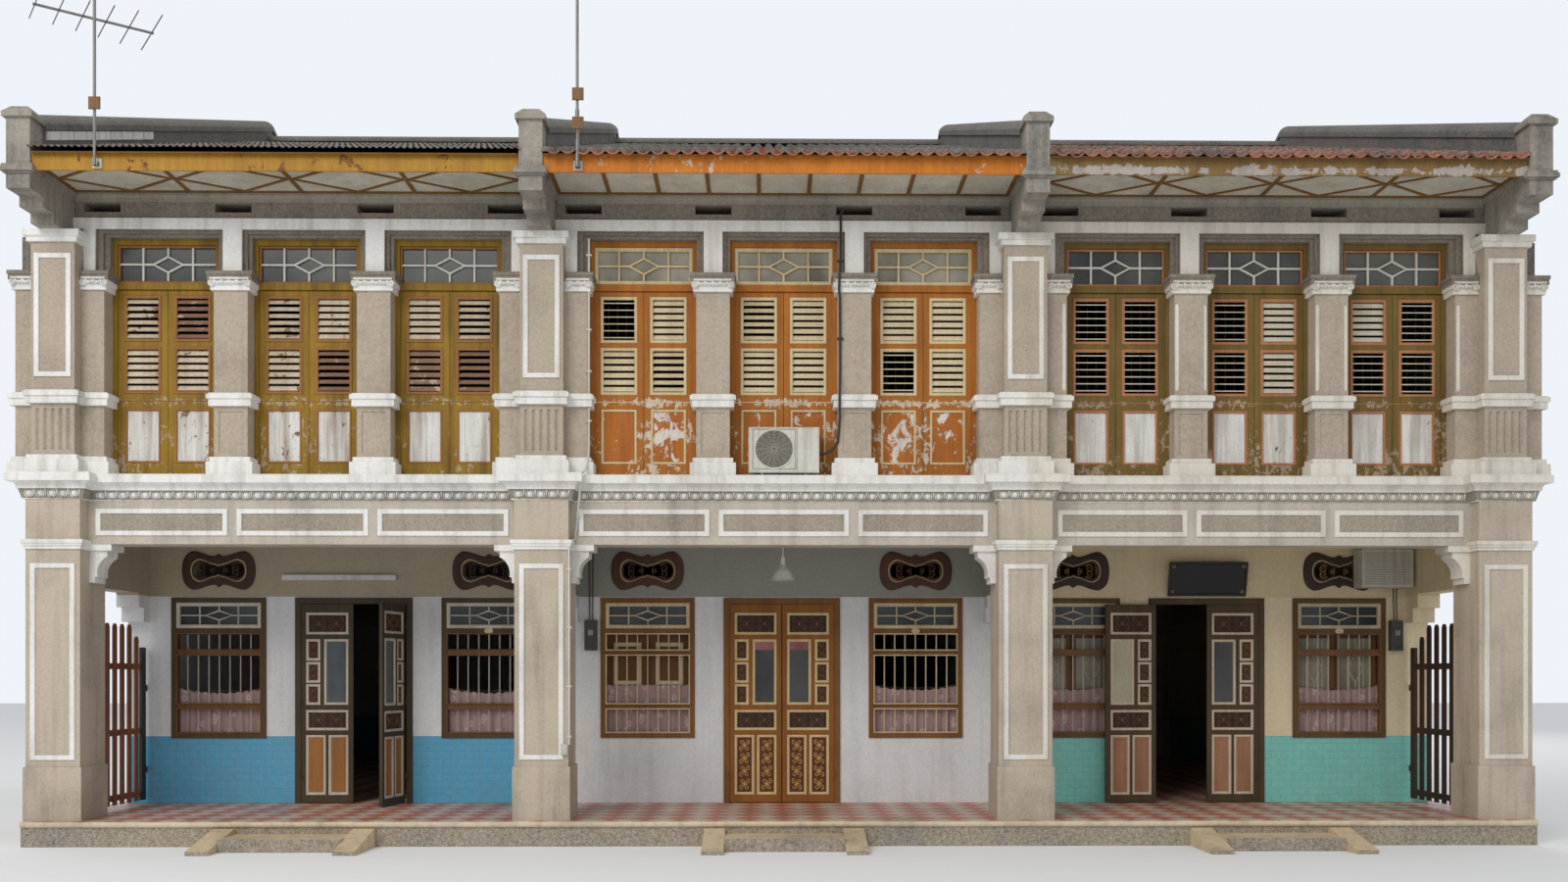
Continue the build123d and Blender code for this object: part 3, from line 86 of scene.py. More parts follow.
class Net:
    """A node tree in few words: each method adds one node and returns its output."""

    def __init__(self, tree):
        self.tree = tree

    def feed(self, socket, value):
        if isinstance(value, bpy.types.NodeSocket):
            self.tree.links.new(value, socket)
        else:
            socket.default_value = value

    def node(self, kind, sockets=None, **settings):
        made = self.tree.nodes.new(kind)
        for name, value in settings.items():
            setattr(made, name, value)
        for name, value in (sockets or {}).items():
            self.feed(made.inputs[name], value)
        return made

    def here(self, scale=None):
        at = self.node("ShaderNodeTexCoord").outputs["Object"]
        if scale is None:
            return at
        return self.node("ShaderNodeMapping", {"Vector": at, "Scale": scale}).outputs[0]

    def noise(self, at, scale, detail=3.0, rough=0.55):
        sockets = {"Vector": at, "Scale": scale, "Detail": detail, "Roughness": rough}
        return self.node("ShaderNodeTexNoise", sockets).outputs["Fac"]

    def cells(self, at, scale):
        return self.node("ShaderNodeTexVoronoi", {"Vector": at, "Scale": scale}).outputs["Distance"]

    def spread(self, value, low, high, start=0.0, end=1.0):
        sockets = {"Value": value, "From Min": low, "From Max": high, "To Min": start, "To Max": end}
        return self.node("ShaderNodeMapRange", sockets).outputs["Result"]

    def math(self, operation, first, second=0.0):
        made = self.node("ShaderNodeMath", operation=operation)
        self.feed(made.inputs[0], first)
        self.feed(made.inputs[1], second)
        return made.outputs[0]

    def mix(self, share, first, second, blend="MIX"):
        made = self.node("ShaderNodeMix", data_type="RGBA", blend_type=blend)
        for index, value in ((0, share), (6, first), (7, second)):
            self.feed(made.inputs[index], value)
        return made.outputs[2]

    def axes(self, at):
        return self.node("ShaderNodeSeparateXYZ", {"Vector": at}).outputs

    def use(self, group, **values):
        made = self.node("ShaderNodeGroup", node_tree=group)
        for name, value in values.items():
            self.feed(made.inputs[name], value)
        return made.outputs


def shader_group(name, inputs, outputs):
    """An empty shader group with named sockets, and what is needed to fill it."""
    kinds = {"c": "NodeSocketColor", "f": "NodeSocketFloat"}
    tree = bpy.data.node_groups.new(name, "ShaderNodeTree")
    for socket, kind, value in inputs:
        made = tree.interface.new_socket(socket, in_out="INPUT", socket_type=kinds[kind])
        made.default_value = value
    for socket, kind in outputs:
        tree.interface.new_socket(socket, in_out="OUTPUT", socket_type=kinds[kind])
    net = Net(tree)
    return net, net.node("NodeGroupInput").outputs, net.node("NodeGroupOutput").inputs


def begin(name):
    """A new material, as a node helper that remembers its shader."""
    made = bpy.data.materials.new(name)
    made.use_nodes = True
    net = Net(made.node_tree)
    net.material = made
    net.shader = made.node_tree.nodes["Principled BSDF"]
    return net


def finish(net, colour, rough=0.85, height=None, depth=0.004, **sockets):
    """Feeds the shader of a material, with the bump that a height gives."""
    net.feed(net.shader.inputs["Base Color"], colour)
    net.feed(net.shader.inputs["Roughness"], rough)
    if height is not None:
        bump = net.node("ShaderNodeBump", {"Height": height, "Distance": depth, "Strength": 0.8})
        net.feed(net.shader.inputs["Normal"], bump.outputs[0])
    for name, value in sockets.items():
        net.feed(net.shader.inputs[name.replace("_", " ")], value)
    return net.material


print("helpers ready")

# %% [markdown]
# ## Light and ground
# The photo was taken under a bright, cloudy sky. A pale world gives that even light, and one large
# soft lamp in front, high on the left, gives the ledges a gentle shadow below them. A second lamp
# lights the rear. The camera, and what mirrors or lets light through, sees a pale backdrop instead.

# %% World and lamps
scene.view_settings.view_transform = "Standard"
SKY = (0.92, 0.94, 0.97, 1)
SKY_LIGHT = 0.66
BACKDROP = (0.86, 0.90, 0.95, 1)

world = bpy.data.worlds.new("cloudy_sky")
scene.world = world
world.use_nodes = True
world.node_tree.nodes.clear()
net = Net(world.node_tree)
rays = net.node("ShaderNodeLightPath").outputs
seen = net.math("MAXIMUM", rays["Is Camera Ray"], rays["Is Transmission Ray"])
seen = net.math("MAXIMUM", seen, rays["Is Glossy Ray"])
light = net.node("ShaderNodeBackground", {"Color": SKY, "Strength": SKY_LIGHT}).outputs[0]
backdrop = net.node("ShaderNodeBackground", {"Color": BACKDROP}).outputs[0]
blend = net.node("ShaderNodeMixShader", {0: seen, 1: light, 2: backdrop}).outputs[0]
net.node("ShaderNodeOutputWorld", {"Surface": blend})


def lamp(name, at, aim, size, watts, colour):
    """A large square lamp that points at a place."""
    data = bpy.data.lights.new(name, "AREA")
    data.size = size
    data.energy = watts
    data.color = colour
    made = bpy.data.objects.new(name, data)
    scene.collection.objects.link(made)
    made.location = at
    made.rotation_euler = (Vector(aim) - Vector(at)).to_track_quat("-Z", "Y").to_euler()


lamp("sky_lamp", (-14, -24, 22), (0, 4, 4), 16, 4300, (1.0, 0.97, 0.92))
lamp("rear_lamp", (12, 36, 18), (0, 10, 5), 14, 2500, (1.0, 0.98, 0.96))
print("world", SKY_LIGHT, "and two lamps")

# %% [markdown]
# The floor is a plain pale sheet that only catches the shadow of the row. It is not part of the
# object, and its name begins with stage.

# %% Floor
FLOOR_HALF = 90.0
FLOOR_Z = -0.002
corners = [(x * FLOOR_HALF, y * FLOOR_HALF, FLOOR_Z) for x, y in ((-1, -1), (1, -1), (1, 1), (-1, 1))]
floor_mesh = bpy.data.meshes.new("stage_floor")
floor_mesh.from_pydata(corners, [], [(0, 1, 2, 3)])
paper = finish(begin("stage_paper"), (0.92, 0.93, 0.94, 1.0), 1.0, Specular_IOR_Level=0.0)
floor_mesh.materials.append(paper)
floor = bpy.data.objects.new("stage_floor", floor_mesh)
scene.collection.objects.link(floor)
print("floor", 2 * FLOOR_HALF, "m square")

# %% [markdown]
# ## Ageing and painted shade that several finishes share
# Old lime paint and plaster darken in blotches and in streaks below ledges. Oil paint comes off in
# flakes with a hard edge. Rough plaster is full of fine pebbles, whose colour is painted paler on
# their tops and darker in the hollows between them: a painted highlight and painted shade. Each of
# these is one shader group, placed in many materials with its own values, so that the whole row
# ages in the same way.

# %% Shader groups for stains, flakes, grain and shaded pebbles
WHITE = (1.0, 1.0, 1.0, 1.0)
GREY = (0.3, 0.3, 0.3, 1.0)
HOUSE_EDGE = 2.9

net, given, out = shader_group(
    "stains",
    [("Colour", "c", WHITE), ("Stain", "c", GREY), ("Blotches", "f", 0.4), ("Streaks", "f", 0.3)],
    [("Colour", "c"), ("Mask", "f")])
blotch = net.noise(net.here(), 1.1, 7.0, 0.62)
blotch = net.math("MULTIPLY", net.spread(blotch, 0.46, 0.68), given["Blotches"])
streak = net.noise(net.here((7.0, 7.0, 0.45)), 1.0, 4.0, 0.6)
streak = net.math("MULTIPLY", net.spread(streak, 0.48, 0.72), given["Streaks"])
fine = net.spread(net.noise(net.here(), 34.0, 3.0), 0.3, 0.7, 0.93, 1.06)
mask = net.math("MINIMUM", net.math("ADD", blotch, streak), 1.0)
stained = net.mix(mask, given["Colour"], given["Stain"])
shade = net.node("ShaderNodeCombineXYZ")
for axis in range(3):
    net.feed(shade.inputs[axis], fine)
net.feed(out["Colour"], net.mix(1.0, stained, shade.outputs[0], "MULTIPLY"))
net.feed(out["Mask"], mask)
stains = net.tree

net, given, out = shader_group(
    "flakes",
    [("Paint", "c", WHITE), ("Bare", "c", GREY), ("Wear", "f", 0.2), ("Size", "f", 6.0)],
    [("Colour", "c"), ("Paint left", "f")])
wide = net.noise(net.here(), 1.7, 2.0)
torn = net.node("ShaderNodeTexNoise", {
    "Vector": net.here((1.0, 1.0, 0.7)), "Scale": given["Size"], "Detail": 7.0,
    "Roughness": 0.68, "Distortion": 0.6}).outputs["Fac"]
both = net.math("ADD", net.math("MULTIPLY", torn, 0.7), net.math("MULTIPLY", wide, 0.3))
edge = net.math("SUBTRACT", 0.74, net.math("MULTIPLY", given["Wear"], 0.36))
gone = net.math("MULTIPLY", net.math("SUBTRACT", both, edge), 60.0)
gone = net.math("MAXIMUM", net.math("MINIMUM", gone, 1.0), 0.0)
net.feed(out["Colour"], net.mix(gone, given["Paint"], given["Bare"]))
net.feed(out["Paint left"], net.math("SUBTRACT", 1.0, gone))
flakes = net.tree

net, given, out = shader_group(
    "grain", [("Colour", "c", WHITE), ("Dark", "c", GREY), ("Amount", "f", 0.35)],
    [("Colour", "c"), ("Height", "f")])
lines = net.noise(net.here((46.0, 46.0, 1.6)), 1.0, 4.0, 0.6)
bands = net.noise(net.here((5.0, 5.0, 0.7)), 1.0, 3.0)
both = net.math("ADD", net.math("MULTIPLY", lines, 0.5), net.math("MULTIPLY", bands, 0.5))
dark = net.math("MULTIPLY", net.spread(both, 0.42, 0.66), given["Amount"])
net.feed(out["Colour"], net.mix(dark, given["Colour"], given["Dark"]))
net.feed(out["Height"], lines)
grain = net.tree

net, given, out = shader_group(
    "shaded_pebbles", [("Colour", "c", WHITE), ("Amount", "f", 0.5)], [("Colour", "c"), ("Height", "f")])
grit_and_shade = net.noise(net.here(), 95.0, 3.0, 0.7)
lumps = net.noise(net.here(), 26.0, 2.0)
both = net.math("ADD", net.math("MULTIPLY", grit_and_shade, 0.65), net.math("MULTIPLY", lumps, 0.35))
# The grit's colour follows its own height: the tops are painted paler and the hollows darker, a painted
# highlight and painted shade.
light = net.spread(both, 0.35, 0.65)
pale = net.mix(0.45, given["Colour"], WHITE)
deep = net.mix(0.55, given["Colour"], (0.02, 0.015, 0.01, 1.0))
relief_shade_and_highlight = net.mix(light, deep, pale)
net.feed(out["Colour"], net.mix(given["Amount"], given["Colour"], relief_shade_and_highlight))
net.feed(out["Height"], both)
shaded_pebbles = net.tree

net, given, out = shader_group(
    "by_house", [("Left", "c", WHITE), ("Middle", "c", WHITE), ("Right", "c", WHITE)],
    [("Colour", "c")])
across = net.axes(net.here())["X"]
first = net.mix(net.math("GREATER_THAN", across, -HOUSE_EDGE), given["Left"], given["Middle"])
net.feed(out["Colour"], net.mix(net.math("GREATER_THAN", across, HOUSE_EDGE), first, given["Right"]))
by_house = net.tree
print("groups", [g.name for g in bpy.data.node_groups])

# %% [markdown]
# ## Finishes
# Two kinds cover most of the row: plaster, which stains and is gritty, with painted shade and
# highlight on its grit, and painted timber, whose grain shows through and which flakes. A function
# makes each kind, and the calls below it hold the colours of the row's own parts.

# %% Plaster and timber finishes
TITLES = ("left", "middle", "right")


def plaster(name, colour, stain, blotches, streaks, grit_and_shade, depth=0.004):
    """Lime or cement plaster, in one colour or one for each house: stains first, then grit whose tops are
    painted paler and hollows darker, as painted highlight and shade.
    """
    net = begin(name)
    if isinstance(colour[0], tuple):
        left, middle, right = (srgb(*c) for c in colour)
        base = net.use(by_house, Left=left, Middle=middle, Right=right)["Colour"]
    else:
        base = srgb(*colour)
    stained = net.use(stains, Colour=base, Stain=srgb(*stain), Blotches=blotches, Streaks=streaks)
    rough_cast = net.use(shaded_pebbles, Colour=stained["Colour"], Amount=grit_and_shade)
    return finish(net, rough_cast["Colour"], 0.92, rough_cast["Height"], depth)


def timber(name, paint, dark, bare, wear, size=7.0, worn_at=None, streaks=0.3, rough=0.62):
    """Painted wood: grain, then flakes that show the bare layer, most of all near one height."""
    net = begin(name)
    wood = net.use(grain, Colour=srgb(*paint), Dark=srgb(*dark), Amount=0.5)
    if worn_at is not None:
        high = net.axes(net.here())["Z"]
        off = net.math("ABSOLUTE", net.math("SUBTRACT", high, worn_at))
        band = net.spread(off, 0.02, 0.12, 0.56, 0.0)
        below = net.spread(high, worn_at - 0.3, worn_at + 0.03, 0.47, 0.0)
        wear = net.math("ADD", wear, net.math("MAXIMUM", band, below))
    worn = net.use(flakes, Paint=wood["Colour"], Bare=srgb(*bare), Wear=wear, Size=size)
    grimy = net.use(stains, Colour=worn["Colour"], Stain=srgb(*dark), Blotches=0.25, Streaks=streaks)
    height = net.math("ADD", net.math("MULTIPLY", wood["Height"], 0.35), worn["Paint left"])
    return finish(net, grimy["Colour"], rough, height, 0.0016, Specular_IOR_Level=0.3)


def for_houses(kind, name, *settings):
    """One finish for each house, from three rows of settings."""
    return tuple(kind(name + "_" + title, *row) for title, row in zip(TITLES, settings))


rough_plaster = plaster("rough_plaster", (196, 181, 161), (88, 80, 68), 0.3, 0.3, 0.2)
pilaster_plaster = plaster("pilaster_plaster", (182, 166, 145), (124, 108, 90), 0.35, 0.2, 0.32, 0.006)
frieze_plaster = plaster("frieze_plaster", (126, 113, 95), (78, 70, 62), 0.5, 0.4, 0.35)
corona_plaster = plaster("corona_plaster", (150, 142, 126), (104, 96, 84), 0.4, 0.4, 0.2)
field_plaster = plaster("field_plaster", (160, 147, 126), (112, 100, 84), 0.4, 0.4, 0.35, 0.005)
beam_plaster = plaster("beam_plaster", (196, 186, 170), (120, 112, 98), 0.35, 0.35, 0.22)
white_lime = plaster("white_lime", ((238, 237, 233), (234, 232, 226), (228, 222, 210)),
                     (150, 142, 128), 0.22, 0.4, 0.05, 0.002)
coping_plaster = plaster("coping_plaster", (96, 91, 82), (38, 38, 32), 0.7, 0.3, 0.35, 0.01)
post_plaster = plaster("post_plaster", (152, 144, 130), (66, 62, 54), 0.6, 0.6, 0.3)
end_wall = plaster("end_wall", (204, 199, 186), (134, 127, 114), 0.45, 0.45, 0.15)
rear_wall = plaster("rear_wall", ((190, 190, 186), (200, 198, 190), (208, 198, 170)),
                    (126, 121, 110), 0.45, 0.5, 0.15)
ceiling_paint = plaster("ceiling_paint", ((205, 208, 212), (206, 208, 208), (214, 204, 178)),
                        (150, 145, 135), 0.3, 0.15, 0.06)
step_plaster = plaster("step_plaster", (214, 192, 154), (140, 118, 88), 0.6, 0.35, 0.25)
riser_plaster = plaster("riser_plaster", (150, 128, 88), (92, 78, 56), 0.6, 0.3, 0.8, 0.008)
nosing_paint = plaster("nosing_paint", (222, 206, 178), (150, 132, 104), 0.4, 0.4, 0.15)

WORN_RAIL = 5.37
TIMBERS = for_houses(timber, "timber",
                     ((152, 118, 28), (84, 62, 22), (176, 156, 126), 0.08, 15.0, WORN_RAIL, 0.65),
                     ((176, 108, 36), (112, 64, 24), (208, 194, 174), 0.1, 14.0, WORN_RAIL, 0.4),
                     ((122, 98, 46), (76, 60, 28), (170, 150, 126), 0.1, 14.0, WORN_RAIL, 0.5))
TRIMS = for_houses(timber, "trim",
                   ((158, 108, 58), (106, 70, 36), (205, 190, 165), 0.15),
                   ((218, 200, 158), (168, 140, 96), (150, 96, 44), 0.2),
                   ((184, 124, 86), (132, 84, 56), (205, 190, 170), 0.12))
SLATS = for_houses(timber, "slats",
                   ((214, 200, 176), (150, 124, 92), (126, 96, 66), 0.5),
                   ((218, 204, 170), (166, 144, 108), (120, 92, 60), 0.3),
                   ((210, 202, 182), (160, 146, 120), (130, 112, 86), 0.3))
PANELS = for_houses(timber, "panel",
                    ((226, 226, 222), (136, 112, 88), (120, 98, 78), 0.42, 14.0, None, 0.9),
                    ((180, 108, 38), (124, 66, 24), (216, 208, 200), 0.5),
                    ((228, 228, 224), (150, 134, 112), (112, 92, 70), 0.32, 14.0, None, 0.7))
slats_bare = timber("slats_bare", (150, 118, 96), (92, 68, 54), (196, 180, 158), 0.45)
muntin_white = timber("muntin_white", (214, 212, 204), (170, 160, 140), (140, 110, 70), 0.1)
print(len(bpy.data.materials), "materials")

# %% [markdown]
# Inside the walkway each house has its own paint: a pale wall with a darker band at the top, and in
# the outer houses a blue or turquoise tiled dado. One material holds them all: height picks the
# band, and the place along the street picks the house.

# %% Walkway walls, floor tiles and doors
DADO_TOP = 1.207
BAND_FROM = 3.1

net = begin("walkway_wall")
height_up = net.axes(net.here())["Z"]
plain = net.use(by_house, Left=srgb(222, 224, 226), Middle=srgb(226, 228, 228),
                Right=srgb(232, 216, 182))["Colour"]
band = net.use(by_house, Left=srgb(172, 160, 136), Middle=srgb(150, 152, 142),
               Right=srgb(216, 200, 164))["Colour"]
tile = net.use(by_house, Left=srgb(92, 170, 206), Middle=srgb(150, 190, 200),
               Right=srgb(134, 212, 202))["Colour"]
joints = net.node("ShaderNodeTexBrick", {
    "Vector": net.node("ShaderNodeMapping", {
        "Vector": net.here(), "Rotation": (math.radians(90), 0, 0)}).outputs[0],
    "Color1": WHITE, "Color2": (0.93, 0.95, 0.96, 1.0), "Mortar": (0.66, 0.68, 0.7, 1.0), "Scale": 1.0,
    "Mortar Size": 0.0025, "Brick Width": 0.2, "Row Height": 0.1}, offset=0.5).outputs["Color"]
tile = net.mix(1.0, tile, joints, "MULTIPLY")
walls = net.mix(net.math("GREATER_THAN", height_up, BAND_FROM), plain, band)
across = net.axes(net.here())["X"]
outer = net.math("GREATER_THAN", net.math("ABSOLUTE", across), HOUSE_EDGE)
tiled = net.math("MULTIPLY", outer, net.math("LESS_THAN", height_up, DADO_TOP))
walls = net.mix(tiled, walls, tile)
aged = net.use(stains, Colour=walls, Stain=srgb(140, 134, 122), Blotches=0.16, Streaks=0.16)
walkway_wall = finish(net, aged["Colour"], 0.7)

net = begin("floor_tiles")
spots = net.node("ShaderNodeMapping", {
    "Vector": net.here(), "Rotation": (0, 0, math.radians(45))}).outputs[0]
checks = net.node("ShaderNodeTexChecker", {
    "Vector": spots, "Color1": srgb(206, 188, 172), "Color2": srgb(186, 112, 92),
    "Scale": 3.4}).outputs["Color"]
aged = net.use(stains, Colour=checks, Stain=srgb(120, 104, 88), Blotches=0.5, Streaks=0.0)
floor_tiles = finish(net, aged["Colour"], 0.45)

WORN_FASCIA = 7.83
DOORS = for_houses(timber, "door",
                   ((78, 66, 46), (44, 36, 26), (150, 120, 86), 0.06),
                   ((150, 96, 38), (96, 54, 18), (205, 180, 140), 0.06),
                   ((84, 68, 46), (52, 40, 28), (150, 126, 92), 0.1))
WINDOWS = for_houses(timber, "window",
                     ((84, 70, 46), (60, 44, 26), (150, 128, 96), 0.1),
                     ((134, 92, 44), (84, 50, 20), (205, 186, 150), 0.12),
                     ((104, 82, 48), (64, 48, 28), (160, 130, 100), 0.12))
RAILS = for_houses(timber, "rail",
                   ((128, 90, 56), (88, 60, 38), (205, 190, 165), 0.2),
                   ((218, 202, 164), (176, 152, 110), (150, 104, 56), 0.15),
                   ((138, 98, 70), (94, 64, 46), (200, 180, 155), 0.2))
FASCIAS = for_houses(timber, "fascia",
                     ((180, 134, 44), (124, 80, 34), (112, 66, 36), 0.42, 5.0),
                     ((204, 124, 40), (152, 80, 28), (206, 186, 160), 0.38, 9.0),
                     ((146, 116, 68), (96, 76, 48), (182, 174, 166), 0.2, 6.0, WORN_FASCIA))
rear_paint = timber("rear_paint", (126, 96, 62), (80, 58, 38), (170, 150, 120), 0.2)
gate_paint = timber("gate_paint", (150, 98, 68), (92, 58, 40), (150, 110, 80), 0.12)
gate_dark = timber("gate_dark", (66, 44, 34), (38, 26, 20), (110, 84, 62), 0.1)
stile_dark = timber("stile_dark", (52, 56, 48), (30, 32, 28), (96, 84, 66), 0.1)
soffit_board = timber("soffit_board", (206, 202, 188), (150, 138, 116), (120, 104, 80), 0.22)
batten_paint = timber("batten_paint", (128, 92, 44), (80, 54, 28), (170, 150, 120), 0.1)
board_black = timber("board_black", (30, 27, 26), (16, 14, 14), (70, 58, 48), 0.08, rough=0.3)


def metal(name, colour, rust, wear, rough=0.5, metallic=0.0):
    """Painted or bare sheet metal with rust that starts in patches."""
    net = begin(name)
    worn = net.use(flakes, Paint=srgb(*colour), Bare=srgb(*rust), Wear=wear, Size=5.0)
    grimy = net.use(stains, Colour=worn["Colour"], Stain=srgb(*rust), Blotches=0.3, Streaks=0.5)
    return finish(net, grimy["Colour"], rough, worn["Paint left"], 0.0005, Metallic=metallic)


unit_metal = metal("unit_metal", (208, 206, 194), (122, 96, 66), 0.08)
mast_metal = metal("mast_metal", (128, 126, 122), (92, 66, 46), 0.3, 0.5, 0.6)
case_plastic = metal("case_plastic", (74, 72, 68), (50, 44, 38), 0.02, 0.5)
bracket_iron = metal("bracket_iron", (62, 58, 54), (96, 56, 34), 0.3, 0.6, 0.5)
lamp_enamel = metal("lamp_enamel", (214, 216, 212), (130, 118, 100), 0.05, 0.35)
print(len(bpy.data.materials), "materials")

# %% [markdown]
# ## Finishes on the solids
# Most solids have the right shape already and only need a finish. Where one solid carries two, such
# as a shutter with dark stiles and pale slats, each face picks its finish by where its middle lies.
# The mesh itself stays as it is.

# %% Dress the solids
HOUSES = (-5.8, 0.0, 5.8)
PARTY_LINES = (-8.7, -2.9, 2.9, 8.7)
WINDOW_STEP = 1.714
LEAF_OFF = 0.303
SILL = 4.44
FLOOR = 0.30
SHUTTER_Y = 0.425
LOUVRES = ((1.055, 1.572), (1.692, 2.197))
LEAF_PANEL = (0.201, 0.826)
PANEL_HALF = 0.195


def house_at(x):
    """The number of the house at a place along the street: 0, 1 or 2."""
    return int(x > -HOUSE_EDGE) + int(x > HOUSE_EDGE)


def dress(name, finishes, choose=lambda at, way: 0):
    """Gives one solid its finishes, and lets each face choose by its middle and direction."""
    solid = nodes[name]
    solid.data.materials.clear()
    for made in finishes:
        solid.data.materials.append(made)
    for face in solid.data.polygons:
        face.material_index = choose(face.center, face.normal)


BARE_LOUVRES = [(row, HOUSES[0] + k * WINDOW_STEP + side * LEAF_OFF)
                for row, k, side in ((0, 0, 1), (0, 1, -1), (0, 1, 1), (1, -1, 1))]


def shutter_face(at, way):
    """Stiles 0, slats 1, panel 2 and, on the left house, slats that lost their paint 3."""
    house = house_at(at.x)
    nearest = min(abs(abs(at.x - HOUSES[house] - k * WINDOW_STEP) - LEAF_OFF) for k in (-1, 0, 1))
    up = at.z - SILL
    if nearest < PANEL_HALF - 0.0005:
        for row, (low, high) in enumerate(LOUVRES):
            if low - 0.02 < up < high + 0.02:
                bare = any(row == r and abs(at.x - x) < PANEL_HALF for r, x in BARE_LOUVRES)
                return 3 if bare else 1
        if LEAF_PANEL[0] < up < LEAF_PANEL[1] and at.y < SHUTTER_Y + 0.02:
            return 2
    return 0


for house, title in enumerate(TITLES):
    dress("shutters_" + title, (TIMBERS[house], SLATS[house], PANELS[house], slats_bare), shutter_face)


def upper_frame_face(at, way):
    """Timber, with white bars in the light, or cream ones on the middle house."""
    house = house_at(at.x)
    aside = min(abs(at.x - HOUSES[house] - k * WINDOW_STEP) for k in (-1, 0, 1))
    if 6.82 < at.z < 7.27 and at.y > 0.42 and aside < 0.59:
        return 4 if house == 1 else 3
    return house


dress("upper_window_frames", (*TIMBERS, muntin_white, TRIMS[1]), upper_frame_face)
dress("ground_windows", (*WINDOWS, *RAILS),
      lambda at, way: house_at(at.x) + 3 * int(at.y > 2.335 and house_at(at.x) != 1))
dress("door_frames", (DOORS[0], WINDOWS[1], DOORS[2]), lambda at, way: house_at(at.x))
for house, title in enumerate(TITLES):
    for side in ("left", "right"):
        dress(title + "_house_" + side + "_leaf", (DOORS[house],))

dress("ground_floor", (floor_tiles, nosing_paint, riser_plaster, end_wall),
      lambda at, way: 0 if way.z > 0.9 else 3 if way.y > 0.5 or abs(way.x) > 0.5
      else 1 if at.z > 0.2 else 2)
dress("entrance_steps", (step_plaster, riser_plaster),
      lambda at, way: int(way.y < -0.9 and at.z < 0.16))
dress("arcade_beams", (beam_plaster, walkway_wall, ceiling_paint),
      lambda at, way: 1 if at.y > 0.64 else 2 if way.y > 0.5 else 0)
dress("cornice", (white_lime, corona_plaster), lambda at, way: int(4.135 < at.z < 4.25))
dress("party_walls_ground", (walkway_wall, end_wall),
      lambda at, way: int(abs(at.x) > 8.8 or at.y > 13.9))
dress("party_walls_upper", (end_wall, coping_plaster), lambda at, way: int(abs(at.x) < 8.75))
dress("fascias", FASCIAS, lambda at, way: house_at(at.x))
dress("soffits", (soffit_board, batten_paint), lambda at, way: int(at.z < 7.8595 and at.y < 3))
dress("frieze_walls", (frieze_plaster, corona_plaster, rear_wall),
      lambda at, way: 2 if way.y > 0.5 else int(at.y < 0.2495 and at.z > 7.7))
dress("upper_piers", (pilaster_plaster, frieze_plaster),
      lambda at, way: int(at.z > 6.87 and at.y > 0.2))
dress("pilaster_mouldings", (white_lime, frieze_plaster), lambda at, way: int(6.785 < at.z < 6.9))
dress("gate_left", (gate_paint, stile_dark), lambda at, way: int(at.y > 2.15))

PLAIN = {
    "arcade_piers": rough_plaster, "pier_capitals": white_lime, "upper_floors": ceiling_paint,
    "party_copings": coping_plaster, "eaves_posts": post_plaster, "sheet_roof": bracket_iron,
    "tile_roof": coping_plaster, "ridge_caps": coping_plaster, "architraves": white_lime,
    "panel_frames": white_lime, "walls_beside_doors": walkway_wall, "walls_over_doors": walkway_wall,
    "vent_plaques": DOORS[0], "gate_right": gate_dark, "gate_brackets": bracket_iron,
    "name_board": board_black, "meter_boxes": case_plastic, "cooling_units": unit_metal,
    "rear_walls": rear_wall, "rear_joinery": rear_paint, "antennas": mast_metal,
    "walkway_lamps": lamp_enamel,
}
for name, made in PLAIN.items():
    dress(name, (made,))
bare = [name for name in nodes if not nodes[name].data.materials]
print("solids without a finish:", bare)

# %% [markdown]
# ## Tools for shapes
# What is too fine for the solids is made here as meshes. A collector takes plain forms one by one:
# bars, mitred frames with a moulding's section, tubes along a path and flat outlines with a
# thickness. Each form is closed, and at the end all faces are turned outwards.

# %% A collector for small forms
def smooth(mesh, angle):
    """Shades a mesh softly, but for the edges that turn by more than an angle in degrees."""
    mesh.polygons.foreach_set("use_smooth", [True] * len(mesh.polygons))
    mesh.set_sharp_from_angle(angle=math.radians(angle))


